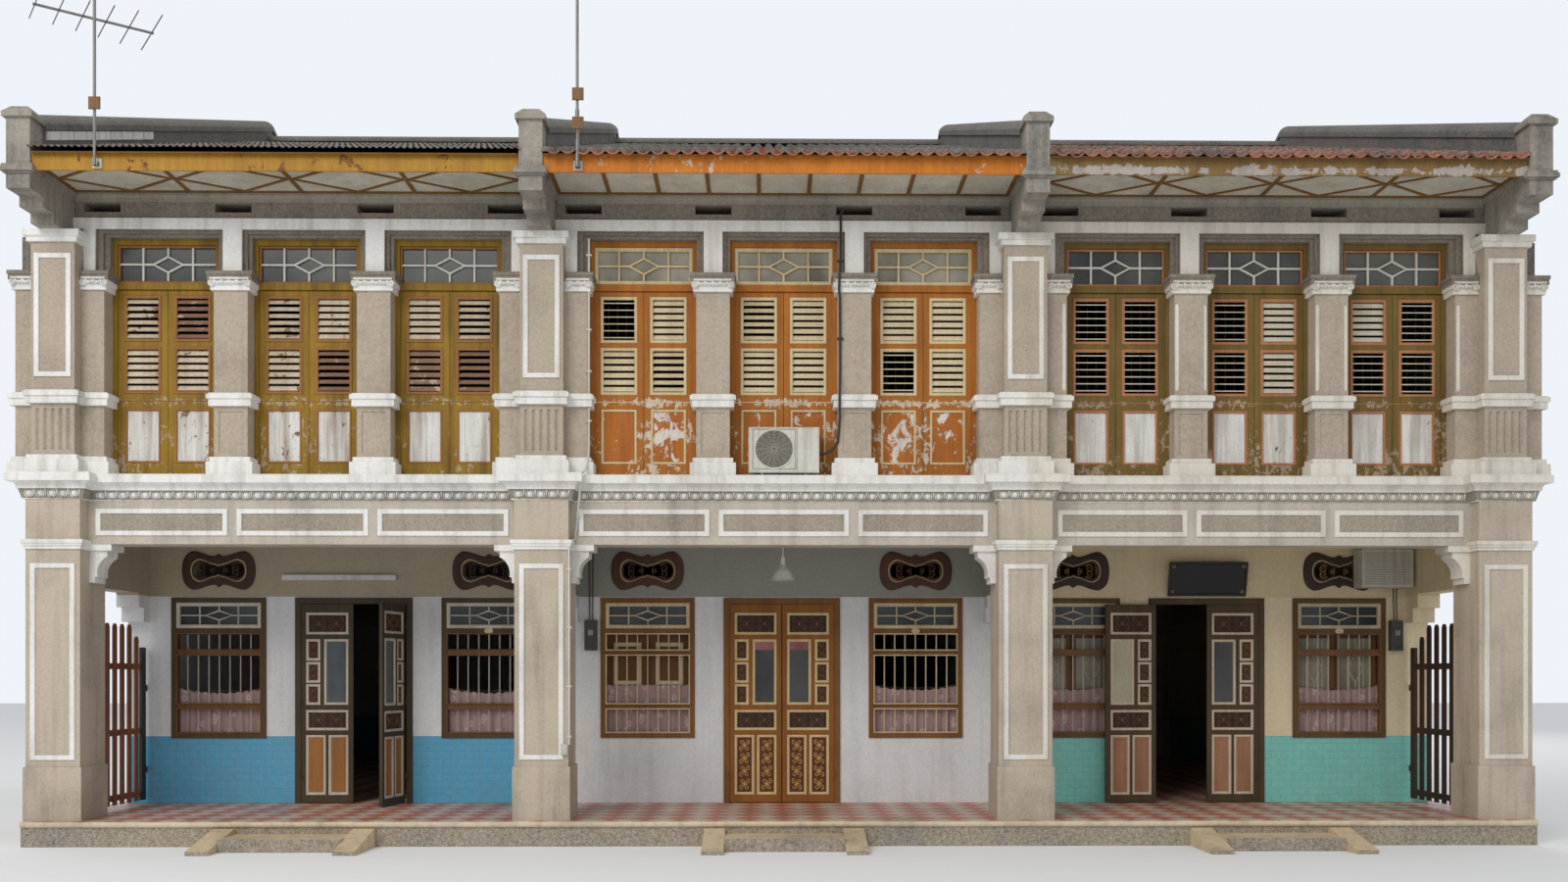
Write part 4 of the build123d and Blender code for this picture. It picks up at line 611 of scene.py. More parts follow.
class Shape:
    """Forms for one piece, each with the number of its finish."""

    def __init__(self, place=None):
        self.points = []
        self.faces = []
        self.marks = []
        self.place = place or Matrix.Identity(4)

    def add(self, points, faces, mark=0):
        first = len(self.points)
        self.points.extend(self.place @ Vector(p) for p in points)
        self.faces.extend(tuple(first + i for i in face) for face in faces)
        self.marks.extend([mark] * len(faces))

    def rings(self, loops, mark=0, closed=False):
        """Skins loops of equal length; the ends are filled unless the last meets the first."""
        count = len(loops[0])
        points = [p for loop in loops for p in loop]
        faces = []
        spans = len(loops) if closed else len(loops) - 1
        for r in range(spans):
            here = r * count
            there = (r + 1) % len(loops) * count
            for i in range(count):
                j = (i + 1) % count
                faces.append((here + i, here + j, there + j, there + i))
        if not closed:
            faces.append(tuple(range(count)))
            faces.append(tuple(range(len(points) - count, len(points))))
        self.add(points, faces, mark)

    def bar(self, x0, x1, y0, y1, z0, z1, mark=0, ease=0.0):
        """A squared bar whose front edges, at y0, may be eased."""
        def loop(inset, y):
            return [(x0 + inset, y, z0 + inset), (x1 - inset, y, z0 + inset),
                    (x1 - inset, y, z1 - inset), (x0 + inset, y, z1 - inset)]
        loops = [loop(ease, y0), loop(0, y0 + ease), loop(0, y1)] if ease else [loop(0, y0), loop(0, y1)]
        self.rings(loops, mark)

    def frame(self, x0, x1, z0, z1, section, mark=0):
        """A mitred frame: its section is a closed list of (how far inside, place in y)."""
        self.rings([[(x0 + s, y, z0 + s), (x1 - s, y, z0 + s), (x1 - s, y, z1 - s),
                     (x0 + s, y, z1 - s)] for s, y in section], mark, closed=True)

    def plate(self, outline, y0, y1, mark=0, ease=0.0):
        """An outline in x and z with a thickness, with its front edge drawn in a little."""
        mx = sum(x for x, z in outline) / len(outline)
        mz = sum(z for x, z in outline) / len(outline)
        inner = [(x + (mx - x) * ease, y0, z + (mz - z) * ease) for x, z in outline]
        self.rings([inner, [(x, y1, z) for x, z in outline]], mark)

    def tube(self, path, radius, sides=5, mark=0):
        """A round bar along a path; the radius may be a list that tapers along it."""
        radii = radius if isinstance(radius, list) else [radius] * len(path)
        path = [Vector(p) for p in path]
        loops = []
        for i, at in enumerate(path):
            ahead = (path[min(i + 1, len(path) - 1)] - path[max(i - 1, 0)]).normalized()
            aside = ahead.cross(Vector((0, 1, 0)))
            if aside.length < 0.2:
                aside = ahead.cross(Vector((1, 0, 0)))
            aside.normalize()
            over = ahead.cross(aside)
            turns = [2 * math.pi * k / sides for k in range(sides)]
            loops.append([at + radii[i] * (math.cos(t) * aside + math.sin(t) * over) for t in turns])
        self.rings(loops, mark)

    def mesh(self, name, finishes, soft=None):
        made = bpy.data.meshes.new(name)
        made.from_pydata([tuple(p) for p in self.points], [], self.faces)
        for finish in finishes:
            made.materials.append(finish)
        made.polygons.foreach_set("material_index", self.marks)
        whole = bmesh.new()
        whole.from_mesh(made)
        bmesh.ops.recalc_face_normals(whole, faces=whole.faces)
        whole.to_mesh(made)
        whole.free()
        if soft is not None:
            smooth(made, soft)
        return made

    def make(self, name, finishes, body="building", soft=None):
        return piece(name, self.mesh(name, finishes, soft), body)


def piece(name, mesh, body="building"):
    """A mesh as a piece of the row that rides on a body."""
    made = bpy.data.objects.new(name, mesh)
    scene.collection.objects.link(made)
    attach(made, body)
    print(name, len(mesh.polygons), "faces")
    return made


def curl(x, z, y, size, turns=1.4, way=1, up=1, steps=13):
    """The path of one scroll: a spiral that opens from its eye."""
    path = []
    for i in range(steps):
        share = i / (steps - 1)
        angle = turns * 2 * math.pi * share
        reach = size * (0.12 + 0.88 * share)
        path.append((x + way * reach * math.cos(angle), y, z + up * reach * math.sin(angle)))
    return path


print("shape tools ready")

# %% [markdown]
# ## Rows of like pieces
# Roof tiles, sheets, carved eggs and window bars are one shape repeated in rows and columns. One
# Geometry Nodes tree lays any such shape out: points stand at steps in two directions, a little
# shaken with a fixed seed so that no two are laid quite alike, and the shape is placed on each. The
# result is turned into a plain mesh, because instances would be lost when the model is exported.

# %% The tree that lays out rows
rows_tree = bpy.data.node_groups.new("rows_of_pieces", "GeometryNodeTree")
for socket, kind in (("Piece", "Object"), ("Start", "Vector"), ("Step", "Vector"), ("Count", "Int"),
                     ("Row step", "Vector"), ("Rows", "Int"), ("Shift", "Vector"),
                     ("Twist", "Vector"), ("Seed", "Int"), ("Finish", "Material")):
    rows_tree.interface.new_socket(socket, in_out="INPUT", socket_type="NodeSocket" + kind)
rows_tree.interface.new_socket("Geometry", in_out="OUTPUT", socket_type="NodeSocketGeometry")

net = Net(rows_tree)
given = net.node("NodeGroupInput").outputs
total = net.math("MULTIPLY", given["Count"], given["Rows"])
index = net.node("GeometryNodeInputIndex").outputs[0]
row = net.math("FLOOR", net.math("DIVIDE", net.math("ADD", index, 0.5), given["Count"]))
column = net.math("SUBTRACT", index, net.math("MULTIPLY", row, given["Count"]))


def vector_math(operation, first, second=None, scale=None):
    """One vector operation of the rows tree."""
    made = net.node("ShaderNodeVectorMath", operation=operation)
    net.feed(made.inputs[0], first)
    if second is not None:
        net.feed(made.inputs[1], second)
    if scale is not None:
        net.feed(made.inputs["Scale"], scale)
    return made.outputs[0]


along = vector_math("SCALE", given["Step"], scale=column)
across = vector_math("SCALE", given["Row step"], scale=row)
spot = vector_math("ADD", given["Start"], vector_math("ADD", along, across))


def shaken(amount, extra):
    """A random vector for each point, no larger than the amount and fixed by the seed."""
    seed = net.math("ADD", given["Seed"], extra)
    chance = net.node("FunctionNodeRandomValue", {"Min": (-1, -1, -1), "Max": (1, 1, 1), "Seed": seed},
                      data_type="FLOAT_VECTOR")
    return vector_math("MULTIPLY", chance.outputs[0], amount)


spot = vector_math("ADD", spot, shaken(given["Shift"], 0))
points = net.node("GeometryNodePoints", {"Count": total, "Position": spot}).outputs[0]
shape = net.node("GeometryNodeObjectInfo", {"Object": given["Piece"]}).outputs["Geometry"]
laid = net.node("GeometryNodeInstanceOnPoints", {
    "Points": points, "Instance": shape, "Rotation": shaken(given["Twist"], 7)}).outputs[0]
real = net.node("GeometryNodeRealizeInstances", {"Geometry": laid}).outputs[0]
done = net.node("GeometryNodeSetMaterial", {"Geometry": real, "Material": given["Finish"]})
net.feed(net.node("NodeGroupOutput").inputs["Geometry"], done.outputs[0])


def rows(unit, finish, start, step, count, row_step=(0, 0, 0), row_count=1, shift=(0, 0, 0),
         twist=(0, 0, 0), seed=1, soft=None):
    """Lays a shape out in rows and gives the whole as one mesh."""
    sample = bpy.data.objects.new("sample", unit.mesh("sample", [finish]))
    holder = bpy.data.objects.new("holder", bpy.data.meshes.new("holder"))
    scene.collection.objects.link(holder)
    modifier = holder.modifiers.new("rows", "NODES")
    modifier.node_group = rows_tree
    values = {"Piece": sample, "Start": start, "Step": step, "Count": count, "Row step": row_step,
              "Rows": row_count, "Shift": shift, "Twist": twist, "Seed": seed, "Finish": finish}
    for socket, value in values.items():
        value = [float(v) for v in value] if isinstance(value, tuple) else value
        modifier[rows_tree.interface.items_tree[socket].identifier] = value
    graph = bpy.context.evaluated_depsgraph_get()
    mesh = bpy.data.meshes.new_from_object(holder.evaluated_get(graph), depsgraph=graph)
    bpy.data.objects.remove(holder)
    bpy.data.objects.remove(sample)
    if soft is not None:
        smooth(mesh, soft)
    return mesh


def join(name, parts, body="building"):
    """One piece from several meshes; each brings its own finish."""
    finishes = []
    whole = bmesh.new()
    for mesh in parts:
        if mesh.materials[0] not in finishes:
            finishes.append(mesh.materials[0])
        number = finishes.index(mesh.materials[0])
        mesh.polygons.foreach_set("material_index", [number] * len(mesh.polygons))
        whole.from_mesh(mesh)
        bpy.data.meshes.remove(mesh)
    made = bpy.data.meshes.new(name)
    whole.to_mesh(made)
    whole.free()
    for finish in finishes:
        made.materials.append(finish)
    return piece(name, made, body)


print("rows tree has", len(rows_tree.nodes), "nodes")

# %% [markdown]
# ## Roof coverings
# Two houses have old clay tiles: curved pans lie hollow side up in columns, half-round covers lie
# over the joints, and a row of lips closes the pans at the street eaves. The third house has
# corrugated sheets, which lap like large tiles. Both lie on a thin deck, in the space of the solid
# slope that they replace.

# %% Clay tiles and corrugated sheets
PITCH = math.radians(20.8)
EAVES_Y = -0.82
EAVES_Z = 7.9522
RIDGE_Y = 7.10
SLOPE_RUN = (RIDGE_Y - 0.01 - EAVES_Y) / math.cos(PITCH)
BAY_HALF = 2.75
TILE_STEP = 0.17
TILE_LENGTH = 0.30
TILE_COURSE = 0.25
CREST = 0.012

cover_clay = plaster("cover_clay", ((118, 106, 94), (112, 104, 92), (146, 98, 68)), (58, 58, 52),
                     1.0, 0.4, 0.4)
lip_clay = plaster("lip_clay", (172, 96, 54), (78, 60, 50), 1.0, 0.4, 0.3)
pan_clay = plaster("pan_clay", ((180, 88, 46), (188, 96, 48), (184, 92, 48)), (86, 56, 42),
                   0.55, 0.2, 0.2)
sheet_iron = metal("sheet_iron", (122, 112, 102), (84, 58, 44), 0.5, 0.6, 0.3)


def slope_frame(rear):
    """From across, up the slope and out of it to the row's own axes, for a front or rear slope."""
    turn = Matrix.Rotation(PITCH, 4, "X")
    return Matrix.Scale(-1, 4, (0, 1, 0)) @ turn if rear else turn


def slope_point(x, up, out, rear):
    """A place on a roof slope, from how far up it and out of its underside."""
    y = EAVES_Y + up * math.cos(PITCH) - out * math.sin(PITCH)
    z = EAVES_Z + up * math.sin(PITCH) + out * math.cos(PITCH)
    return (x, 2 * RIDGE_Y - y if rear else y, z)


def course_step(rise, rear):
    """The step from one course to the next, up a slope."""
    return tuple(b - a for a, b in zip(slope_point(0, 0, 0, rear), slope_point(0, rise, 0, rear)))


def roof_unit(section, crest, rear):
    """A tile: its section from end to end, with its lower end raised over the tile below."""
    unit = Shape(slope_frame(rear))
    unit.rings([[(x, 0.0, z + crest) for x, z in section], [(x, TILE_LENGTH, z) for x, z in section]])
    return unit


arc = [math.pi * i / 5 for i in range(6)]
cover_section = [(0.058 * math.cos(a), 0.056 * math.sin(a)) for a in arc]
lip_section = [(-0.084, 0.046), (-0.044, 0.012), (0, 0.0), (0.044, 0.012), (0.084, 0.046),
               (0.062, 0.046), (0.036, 0.026), (0, 0.016), (-0.036, 0.026), (-0.062, 0.046)]
pan_section = [(-0.066, 0.034), (-0.036, 0.012), (0, 0.004), (0.036, 0.012), (0.066, 0.034),
               (0.05, 0.0), (-0.05, 0.0)]
columns = int(2 * BAY_HALF / TILE_STEP)
courses = int((SLOPE_RUN - TILE_LENGTH) / TILE_COURSE) + 1


def lay_tiles(house, rear, mess):
    """The pans and covers of one slope, with the lips at the street eaves."""
    first = HOUSES[house] - columns * TILE_STEP / 2
    course = course_step(TILE_COURSE, rear)
    step = (TILE_STEP, 0, 0)
    laid = []
    for section, offset, low, clay in ((pan_section, 0.5, 0.014, pan_clay),
                                       (cover_section, 0.0, 0.022, cover_clay)):
        start = slope_point(first + TILE_STEP * offset, 0.035, low, rear)
        count = columns + (0 if offset else 1)
        laid.append(rows(roof_unit(section, CREST, rear), clay, start, step, count, course, courses,
                         (0.006 * mess, 0.012 * mess, 0.0), (0.012 * mess, 0.0, 0.03 * mess),
                         house * 2 + rear, 40))
    if not rear:
        start = slope_point(first + TILE_STEP / 2, -0.045, 0.004, rear)
        laid.append(rows(roof_unit(lip_section, 0.0, rear), lip_clay, start, step, columns, course, 1,
                         (0.005 * mess, 0.014 * mess, 0.003), (0.03 * mess,) * 3, house, 40))
    return laid


def deck(house, rear, thick=0.014):
    """The thin deck under a covering."""
    boards = Shape()
    ends = [slope_point(0, 0.0, 0.0, rear), slope_point(0, 0.0, thick, rear),
            slope_point(0, SLOPE_RUN, thick, rear), slope_point(0, SLOPE_RUN, 0.0, rear)]
    sides = (HOUSES[house] - BAY_HALF, HOUSES[house] + BAY_HALF)
    boards.rings([[(x, y, z) for _, y, z in ends] for x in sides])
    return boards.mesh("deck", [batten_paint])


for house, title in ((1, "middle"), (2, "right")):
    for rear in (False, True):
        parts = lay_tiles(house, rear, 1.0 if house == 1 else 1.8) + [deck(house, rear)]
        name = "roof_tiles_" + title + ("_rear" if rear else "_front")
        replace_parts(join(name, parts), "tile_roof")

WAVE = 0.076
WAVES = 10
SHEET_LENGTH = 1.83
SHEET_LAP = 0.16
wave_points = [i * WAVE / 8 for i in range(WAVES * 8 + 1)]
top_line = [(x - WAVES * WAVE / 2, 0.011 * math.sin(2 * math.pi * x / WAVE)) for x in wave_points]
SHEET_GAUGE = 0.0025
sheet_section = top_line + [(x, z - SHEET_GAUGE) for x, z in reversed(top_line)]
sheets_across = int(2 * BAY_HALF / (WAVE * (WAVES - 1)))
sheets_up = math.ceil((SLOPE_RUN - SHEET_LAP) / (SHEET_LENGTH - SHEET_LAP))
for rear in (False, True):
    unit = Shape(slope_frame(rear))
    rise = (SLOPE_RUN - 0.04 - SHEET_LENGTH) / (sheets_up - 1)
    unit.rings([[(x, share * SHEET_LENGTH, z + 0.03 * (1 - share)) for x, z in sheet_section]
                for share in (0, 1)])
    width = 2 * BAY_HALF / sheets_across
    start = slope_point(HOUSES[0] - BAY_HALF + width / 2, 0.02, 0.045, rear)
    laid = rows(unit, sheet_iron, start, (width, 0, 0), sheets_across, course_step(rise, rear), sheets_up,
                (0.002, 0.008, 0.002), (0.0015, 0.0, 0.004), 5, 50)
    name = "roof_sheets" + ("_rear" if rear else "_front")
    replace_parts(join(name, [laid, deck(0, rear)]), "sheet_roof")

# %% [markdown]
# ## Carved mouldings
# A band of eggs and darts runs along the cornice and round each pier. An egg is half a pebble in a
# raised rim, with a pointed dart between it and the next. The band leans, so the unit leans with it.

# %% Eggs and darts
EGG_STEP = 0.134
EGG_LOW = 4.145
EGG_HIGH = 4.24
EGG_LEAN = math.atan2(0.028, 0.11)
EGG_MIDDLE = 4.192
BAND_Y = 0.160
BAND_HALF = HOUSE_EDGE - 0.4125
PIER_BAND_Y = -0.030
PIER_EGGS = 5


def egg_unit():
    """One egg in its rim with a dart at its side, facing the street."""
    unit = Shape(Matrix.Rotation(EGG_LEAN, 4, "X"))
    tall = (EGG_HIGH - EGG_LOW) / 2
    turns = [2 * math.pi * i / 10 for i in range(10)]

    def oval(wide, high, y, lift=0.0):
        return [(wide * math.cos(t), y, high * math.sin(t) + lift) for t in turns]

    unit.rings([oval(0.008, 0.009, -0.022), oval(0.024, 0.028, -0.016), oval(0.034, 0.038, 0.004)])
    unit.rings([oval(0.040, tall, 0.004), oval(0.043, tall, -0.010), oval(0.050, tall, -0.010),
                oval(0.054, tall, 0.004)], closed=True)
    side = EGG_STEP / 2
    unit.plate([(side - 0.009, tall), (side + 0.009, tall), (side, -tall)], -0.012, 0.004, ease=0.25)
    return unit


def egg_row(middle, count, y):
    """A row of eggs along the street, on both sides of its middle."""
    start = (middle - (count - 1) * EGG_STEP / 2, y, EGG_MIDDLE)
    return rows(egg_unit(), white_lime, start, (EGG_STEP, 0, 0), count, soft=50)


bands = [egg_row(house, int(2 * BAND_HALF / EGG_STEP), BAND_Y) for house in HOUSES]
bands += [egg_row(line, PIER_EGGS, PIER_BAND_Y) for line in PARTY_LINES]
join("egg_and_dart", bands)

# %% [markdown]
# The capitals of the window pilasters carry a small scroll at each end with a swag of leaves between
# them. A scroll is a bar bent into a spiral, and the swag is a row of beads that hangs in shallow
# loops.

# %% Scroll capitals
CAPITAL_Z = 6.745
CAPITAL_FRONT = 0.118
WINDOW_PIER_HALF = 0.202
PARTY_PIER_HALF = 0.531
MAIN_PIER_HALF = 0.2575


def scroll_capital(shape, x0, x1, y):
    """Scrolls at both ends of a capital's face and a swag between them."""
    for x, way in ((x0, -1), (x1, 1)):
        shape.tube(curl(x - way * 0.012, CAPITAL_Z, y, 0.042, 1.6, way, -1, 15), 0.011, 5)
        shape.tube(curl(x - way * 0.012, CAPITAL_Z, y + 0.02, 0.040, 1.6, way, -1, 9), 0.012, 4)
    inner = (x0 + 0.05, x1 - 0.05)
    swags = max(1, round((inner[1] - inner[0]) / 0.10))
    pitch = (inner[1] - inner[0]) / swags
    for i in range(swags):
        path = []
        for k in range(7):
            share = k / 6
            drop = 0.030 * math.sin(math.pi * share)
            path.append((inner[0] + pitch * (i + share), y - 0.004, CAPITAL_Z + 0.030 - drop))
        shape.tube(path, [0.007, 0.011, 0.014, 0.016, 0.014, 0.011, 0.007], 5)
        shape.bar(path[0][0] - 0.012, path[0][0] + 0.012, y - 0.012, y + 0.02, CAPITAL_Z - 0.02,
                  CAPITAL_Z + 0.035, ease=0.008)
    shape.tube([(x0, y, CAPITAL_Z + 0.052), (x1, y, CAPITAL_Z + 0.052)], 0.014, 6)


capitals = Shape()
for house in HOUSES:
    for side in (-1, 1):
        middle = house + side * WINDOW_STEP / 2
        scroll_capital(capitals, middle - WINDOW_PIER_HALF - 0.03, middle + WINDOW_PIER_HALF + 0.03,
                       CAPITAL_FRONT)
for line in PARTY_LINES:
    for side in (-1, 1):
        ends = sorted((line + side * (MAIN_PIER_HALF + 0.02), line + side * (PARTY_PIER_HALF + 0.03)))
        scroll_capital(capitals, *ends, CAPITAL_FRONT)
capitals.make("scroll_capitals", [white_lime], soft=50)

# %% [markdown]
# ## Upper windows
# Each shutter leaf has a raised moulding round its two louvres and its panel, in a lighter paint. A
# frame with mitred corners follows from its section, so one function makes all fifty-four. Behind
# the diamond lights stands glass whose grey is painted shade of the room behind it.

# %% Mouldings on the shutters, and glass over them
def glass(name, deep, pale, at_scale, rough=0.14):
    """Old window glass over a dim room, drawn opaque: what shows through is painted shade, a soft mottle in
    the pane.
    """
    net = begin(name)
    deep, pale = srgb(*deep), srgb(*pale)
    # The pane's darker and paler mottle is painted shade of the room behind the glass.
    painted_room_shade = net.spread(net.noise(net.here((1.0, 1.0, 0.6)), at_scale, 2.0), 0.35, 0.65)
    dust = net.use(stains, Colour=net.mix(painted_room_shade, deep, pale), Stain=pale, Blotches=0.3, Streaks=0.25)
    return finish(net, dust["Colour"], rough, Specular_IOR_Level=0.22)


# The transom panes are coloured with painted shade of the rooms behind them.
upper_glass = for_houses(glass, "upper_glass",
                         ((58, 62, 62), (88, 92, 90), 1.3),
                         ((104, 100, 88), (166, 160, 146), 1.6),
                         ((64, 66, 64), (100, 100, 94), 1.3))
MOULD_WIDTH = 0.036
MOULD_SECTION = [(0.0, 0.426), (0.0, 0.420), (0.008, 0.413), (0.026, 0.415), (MOULD_WIDTH, 0.422),
                 (MOULD_WIDTH, 0.428)]
THIN_SECTION = [(0.0, 0.426), (0.0, 0.421), (0.006, 0.417), (0.022, 0.418), (0.028, 0.434)]
LIGHT = (6.817, 7.274)
LIGHT_HALF = 0.603

for house, title in enumerate(TITLES):
    mouldings = Shape()
    panes = Shape()
    for k in (-1, 0, 1):
        window = HOUSES[house] + k * WINDOW_STEP
        for side in (-1, 1):
            leaf = window + side * LEAF_OFF
            reach = PANEL_HALF + MOULD_WIDTH - 0.006
            for low, high in LOUVRES:
                mouldings.frame(leaf - reach, leaf + reach, SILL + low - MOULD_WIDTH + 0.006,
                                SILL + high + MOULD_WIDTH - 0.006, MOULD_SECTION)
            reach = PANEL_HALF + 0.02
            mouldings.frame(leaf - reach, leaf + reach, SILL + LEAF_PANEL[0] - 0.02,
                            SILL + LEAF_PANEL[1] + 0.02, THIN_SECTION)
        mouldings.bar(window - 0.60, window + 0.60, 0.419, 0.427, SILL + 0.932, SILL + 0.944,
                      ease=0.003)
        wide = 0.048 if house == 1 else 0.026
        mouldings.frame(window - LIGHT_HALF, window + LIGHT_HALF, *LIGHT,
                        [(0, 0.456), (0, 0.428), (0.006, 0.422), (wide - 0.006, 0.422), (wide, 0.428),
                         (wide, 0.456)])
        panes.bar(window - LIGHT_HALF, window + LIGHT_HALF, 0.462, 0.468, *LIGHT)
        panes.frame(window - LIGHT_HALF, window + LIGHT_HALF, *LIGHT,
                    [(0, 0.456), (0, 0.470), (0.012, 0.470), (0.012, 0.456)])
    mouldings.make("shutter_mouldings_" + title, [TRIMS[house]])
    panes.make("transom_glass_" + title, [upper_glass[house]])

# %% [markdown]
# Behind the louvres that stand open one sees thin iron bars and a dark room. The room is really
# empty and its own shade makes it dark, so nothing else stands behind the bars.

# %% Bars behind the open louvres
iron_bars = Shape()
for house in (1, 2):
    for k in (-1, 0, 1):
        window = HOUSES[house] + k * WINDOW_STEP
        for i in range(11):
            x = window - 0.55 + 0.11 * i
            iron_bars.tube([(x, 0.515, SILL + 0.02), (x, 0.515, SILL + 2.26)], 0.006, 5)
        for up in (0.03, 1.1, 2.25):
            iron_bars.bar(window - 0.602, window + 0.602, 0.505, 0.522, SILL + up, SILL + up + 0.024,
                          ease=0.004)
iron_bars.make("upper_window_bars", [bracket_iron], soft=40)

# %% [markdown]
# ## Ground windows
# A ground window has a diamond light at the top and seven bars below it in three zones, each zone
# edged with a painted strip. The bars are one bar laid out by the rows tree. Lace hangs in the lower
# half, and two houses have inner leaves behind the bars.

# %% Lights, bars and edges of the ground windows
WINDOW_X = 1.823
WINDOW_Z = 1.182
WINDOW_INNER = 0.569
BAR_COUNT = 7
BAR_ZONES = ((0.07, 0.40), (0.46, 1.13), (1.19, 1.42))
TOP_LIGHT = (1.49, 1.834)
BAR_Y = 2.352

bar_paint = for_houses(timber, "bars",
                       ((186, 176, 172), (150, 134, 124), (120, 84, 60), 0.2),
                       ((216, 202, 168), (178, 156, 118), (140, 96, 52), 0.12),
                       ((190, 186, 172), (150, 136, 116), (126, 88, 60), 0.2))
light_paint = for_houses(timber, "light",
                         ((210, 204, 192), (166, 150, 126), (120, 84, 52), 0.12),
                         ((220, 206, 170), (176, 152, 110), (140, 96, 52), 0.1),
                         ((204, 194, 168), (160, 140, 108), (126, 88, 60), 0.12))
# The lower panes are coloured with painted shade of the dark room behind them.
lower_glass = glass("lower_glass", (40, 44, 46), (78, 84, 84), 1.6)
EDGE_SECTION = [(0.0, 2.322), (0.0, 2.314), (0.006, 2.310), (0.015, 2.311), (0.019, 2.345)]


def diamond_light(shape, x0, x1, z0, z1, y0, y1, bar=0.018):
    """Bars for eight panes with a diamond over the middle four."""
    mid_x = (x0 + x1) / 2
    mid_z = (z0 + z1) / 2
    wide = (x1 - x0) / 5.8
    tall = (z1 - z0) * 0.26
    half = bar / 2
    for i in (1, 3):
        x = x0 + (x1 - x0) * i / 4
        shape.bar(x - half, x + half, y0, y1, z0, z1, ease=0.004)
    for low, high in ((z0, mid_z - tall), (mid_z + tall, z1)):
        shape.bar(mid_x - half, mid_x + half, y0, y1, low, high, ease=0.004)
    for left, right in ((x0, mid_x - wide), (mid_x + wide, x1)):
        shape.bar(left, right, y0, y1, mid_z - half, mid_z + half, ease=0.004)
    loops = []
    for grow_by, y in ((-half, y0), (-half, y1), (half, y1), (half, y0)):
        a, b = wide + grow_by * 1.5, tall + grow_by * 1.2
        loops.append([(mid_x - a, y, mid_z), (mid_x, y, mid_z + b), (mid_x + a, y, mid_z),
                      (mid_x, y, mid_z - b)])
    shape.rings(loops, closed=True)


for house, title in enumerate(TITLES):
    lights = Shape()
    panes = Shape()
    bars = []
    for side in (-1, 1):
        x = HOUSES[house] + side * WINDOW_X
        z0, z1 = WINDOW_Z + TOP_LIGHT[0], WINDOW_Z + TOP_LIGHT[1]
        lights.frame(x - WINDOW_INNER, x + WINDOW_INNER, z0, z1,
                     [(0.0, 2.33), (0.0, 2.318), (0.014, 2.312), (0.044, 2.316), (0.05, 2.345)])
        diamond_light(lights, x - WINDOW_INNER + 0.05, x + WINDOW_INNER - 0.05, z0 + 0.05, z1 - 0.05,
                      2.330, 2.350)
        for low, high in BAR_ZONES:
            lights.frame(x - WINDOW_INNER - 0.004, x + WINDOW_INNER + 0.004, WINDOW_Z + low - 0.004,
                         WINDOW_Z + high + 0.004, EDGE_SECTION, 1)
        panes.bar(x - WINDOW_INNER, x + WINDOW_INNER, 2.352, 2.358, z0, z1)
        panes.frame(x - WINDOW_INNER, x + WINDOW_INNER, z0, z1,
                    [(0, 2.350), (0, 2.362), (0.01, 2.362), (0.01, 2.350)])
        bar = Shape()
        bar.tube([(0, 0, WINDOW_Z + BAR_ZONES[0][0]), (0, 0, WINDOW_Z + BAR_ZONES[-1][1])], 0.009, 6)
        step = 2 * WINDOW_INNER / (BAR_COUNT + 1)
        bars.append(rows(bar, bar_paint[house], (x - WINDOW_INNER + step, BAR_Y, 0), (step, 0, 0),
                         BAR_COUNT, shift=(0.002, 0.0, 0.0), seed=house, soft=50))
    edge_paint = light_paint[1] if house == 1 else RAILS[house]
    lights.make("window_edges_" + title, [light_paint[house], edge_paint])
    panes.make("window_glass_" + title, [lower_glass])
    join("window_bars_" + title, bars)

# %% [markdown]
# Lace hangs from a rod behind the bars. A sheet of cloth that hangs in folds is longer than the
# window is wide, so its path in plan is a wave, and the cut width is measured along that wave. Its
# pattern of flower bands follows the cloth's own UV map: along the sheet and down it.

# %% Lace curtains
net = begin("lace")
uv = net.node("ShaderNodeUVMap").outputs[0]
flowers = net.node("ShaderNodeMapping", {"Vector": uv, "Scale": (9.0, 9.0, 1.0)}).outputs[0]
petals = net.cells(flowers, 1.0)
bands = net.node("ShaderNodeTexWave", {"Vector": uv, "Scale": 1.35, "Distortion": 0.0},
                 wave_type="BANDS", bands_direction="X").outputs["Fac"]
thick = net.math("MULTIPLY", net.spread(bands, 0.45, 0.6), net.spread(petals, 0.42, 0.30))
fine_net = net.node("ShaderNodeMapping", {"Vector": uv, "Scale": (90, 90, 1)}).outputs[0]
mesh_holes = net.cells(fine_net, 1.0)
thread = net.math("MAXIMUM", thick, net.spread(mesh_holes, 0.15, 0.45, 0.35, 0.75))
tint = net.mix(thick, srgb(176, 148, 146), srgb(206, 184, 178))
tint = net.mix(net.spread(petals, 0.12, 0.2, 0.55, 0.0), tint, srgb(150, 90, 92))
cover = net.math("MINIMUM", net.math("ADD", thread, 0.35), 1.0)
lace = finish(net, tint, 0.95, thick, 0.002, Alpha=cover)
rod_brass = metal("rod_brass", (150, 132, 96), (96, 78, 52), 0.1, 0.4, 0.5)
LACE_Y = 2.432


